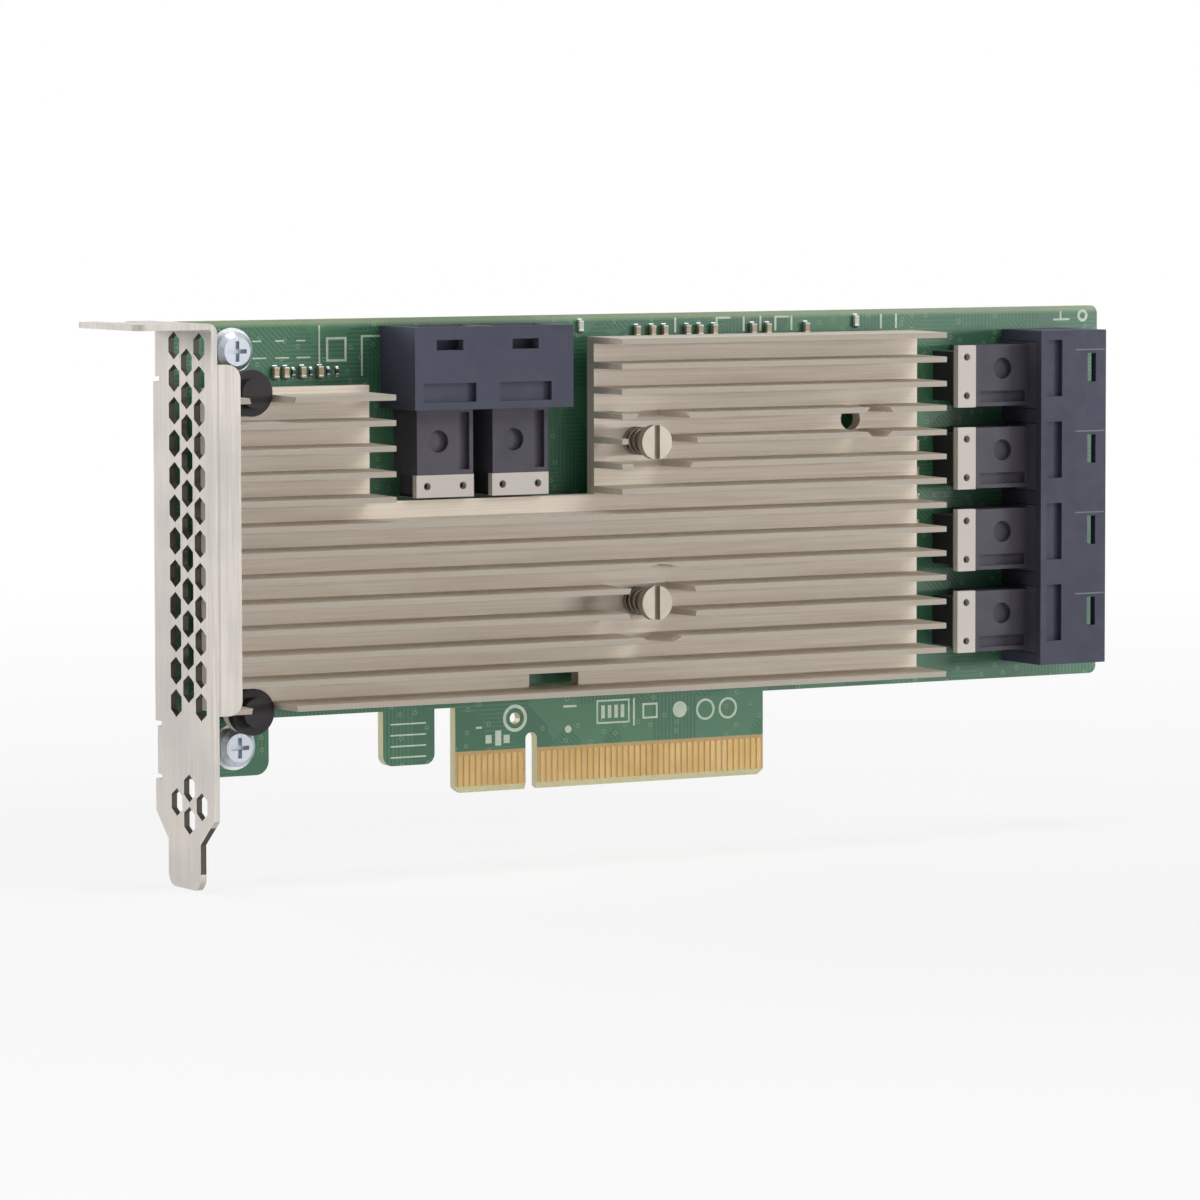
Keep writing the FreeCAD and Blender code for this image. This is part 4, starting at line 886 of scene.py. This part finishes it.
def add_lamp(name, middle, direction, distance, size, level):
    """A soft lamp aimed at the card; at level 1 a matt surface that faces it shows its own colour."""
    data = bpy.data.lights.new(name, "AREA")
    data.shape = "RECTANGLE"
    data.size, data.size_y = size
    data.energy = math.pi ** 2 * distance ** 2 * level
    lamp = bpy.data.objects.new(name, data)
    aim = Vector(direction).normalized()
    lamp.location = middle + aim * distance
    lamp.rotation_euler = (-aim).to_track_quat("-Z", "Y").to_euler()
    bpy.context.scene.collection.objects.link(lamp)


def add_lamps(middle):
    """A low key lamp beyond the free end, and softer lamps in front, at the left, above and behind."""
    add_lamp("key", middle, (1.0, -0.85, 0.03), 3.0, (0.9, 0.35), 0.46)
    add_lamp("high", middle, (0.5, -0.8, 0.6), 2.4, (1.8, 1.1), 0.35)
    add_lamp("left", middle, (-1.0, 0.04, 0.25), 1.6, (0.6, 0.5), 0.15)
    add_lamp("top", middle, (0.0, -0.1, 1.0), 1.6, (0.8, 0.6), 0.26)
    add_lamp("rear", middle, (-0.35, 1.0, 0.3), 1.8, (1.3, 0.8), 0.52)


def seen_rays(nodes, links):
    """1 for the rays that show the background: camera, glossy and transmission rays."""
    path = nodes.new("ShaderNodeLightPath")
    share = path.outputs["Is Camera Ray"]
    for kind in ("Is Glossy Ray", "Is Transmission Ray"):
        either = nodes.new("ShaderNodeMath")
        either.operation = "MAXIMUM"
        links.new(share, either.inputs[0])
        links.new(path.outputs[kind], either.inputs[1])
        share = either.outputs[0]
    return share


def floor_finish():
    """A pale finish that glows white where it is seen, and a little less near the card."""
    near, far, near_glow, far_glow = 0.12, 0.55, 0.8, 1.0
    finish = Finish("floor_white", rough=0.9)
    finish.colour(finish.blend(finish.noise(3), (0.9, 0.9, 0.9, 1), (0.92, 0.92, 0.92, 1)))
    glow = finish.add("ShaderNodeEmission", {"Color": (1, 1, 1, 1), "Strength": 1.0})
    away = finish.add("ShaderNodeVectorMath", {0: finish.place()}, "Value", operation="LENGTH")
    glowing = finish.spread(away, near, far, near_glow, far_glow)
    share = finish.sum("MULTIPLY", seen_rays(finish.tree.nodes, finish.tree.links), glowing)
    mixed = finish.add("ShaderNodeMixShader", {0: share, 1: finish.shader.outputs[0], 2: glow})
    output = next(node for node in finish.tree.nodes if node.type == "OUTPUT_MATERIAL")
    finish.tree.links.new(mixed, output.inputs["Surface"])
    return finish.material


def add_floor(lowest, middle):
    """A wide floor just under the card, which keeps the card's shadow."""
    half_width, gap = 6, 0.1 * MM
    mesh = bmesh.new()
    bmesh.ops.create_grid(mesh, x_segments=1, y_segments=1, size=half_width)
    data = bpy.data.meshes.new("floor")
    mesh.to_mesh(data)
    mesh.free()
    floor = bpy.data.objects.new("floor", data)
    floor.location = (middle.x, middle.y, lowest.z - gap)
    data.materials.append(floor_finish())
    bpy.context.scene.collection.objects.link(floor)
    floor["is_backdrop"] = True


def add_world():
    """A world that is white where it is seen and dim where it lights the card."""
    dim, white = 0.08, 1.0
    world = bpy.data.worlds.new("studio")
    world.use_nodes = True
    bpy.context.scene.world = world
    nodes, links = world.node_tree.nodes, world.node_tree.links
    background = next(node for node in nodes if node.type == "BACKGROUND")
    background.inputs["Color"].default_value = (1, 1, 1, 1)
    level = nodes.new("ShaderNodeMapRange")
    level.inputs["To Min"].default_value = dim
    level.inputs["To Max"].default_value = white
    links.new(seen_rays(nodes, links), level.inputs["Value"])
    links.new(level.outputs["Result"], background.inputs["Strength"])


# --- the scene --------------------------------------------------------------------------------

give_finishes()
dress_chips("capacitors_component_side", CERAMIC, 0.24)
dress_chips("capacitors_solder_side", CERAMIC, 0.24)
dress_chips("resistors_component_side", RESISTOR, 0.22)
dress_chips("resistors_solder_side", RESISTOR, 0.22)
dress_chips("status_lamps", LAMP, 0.2)
for package in ("flash_memory", "settings_memory", "sense_chip"):
    dress_package(package)
dress_springs()
add_prints()
add_seams()
add_plating()
add_port_joints()

LOWEST, HIGHEST = (Vector(corner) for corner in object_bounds())
MIDDLE = (LOWEST + HIGHEST) / 2
add_camera()
add_floor(LOWEST, MIDDLE)
add_world()
add_lamps(MIDDLE)

bpy.context.scene.view_settings.view_transform = "Standard"
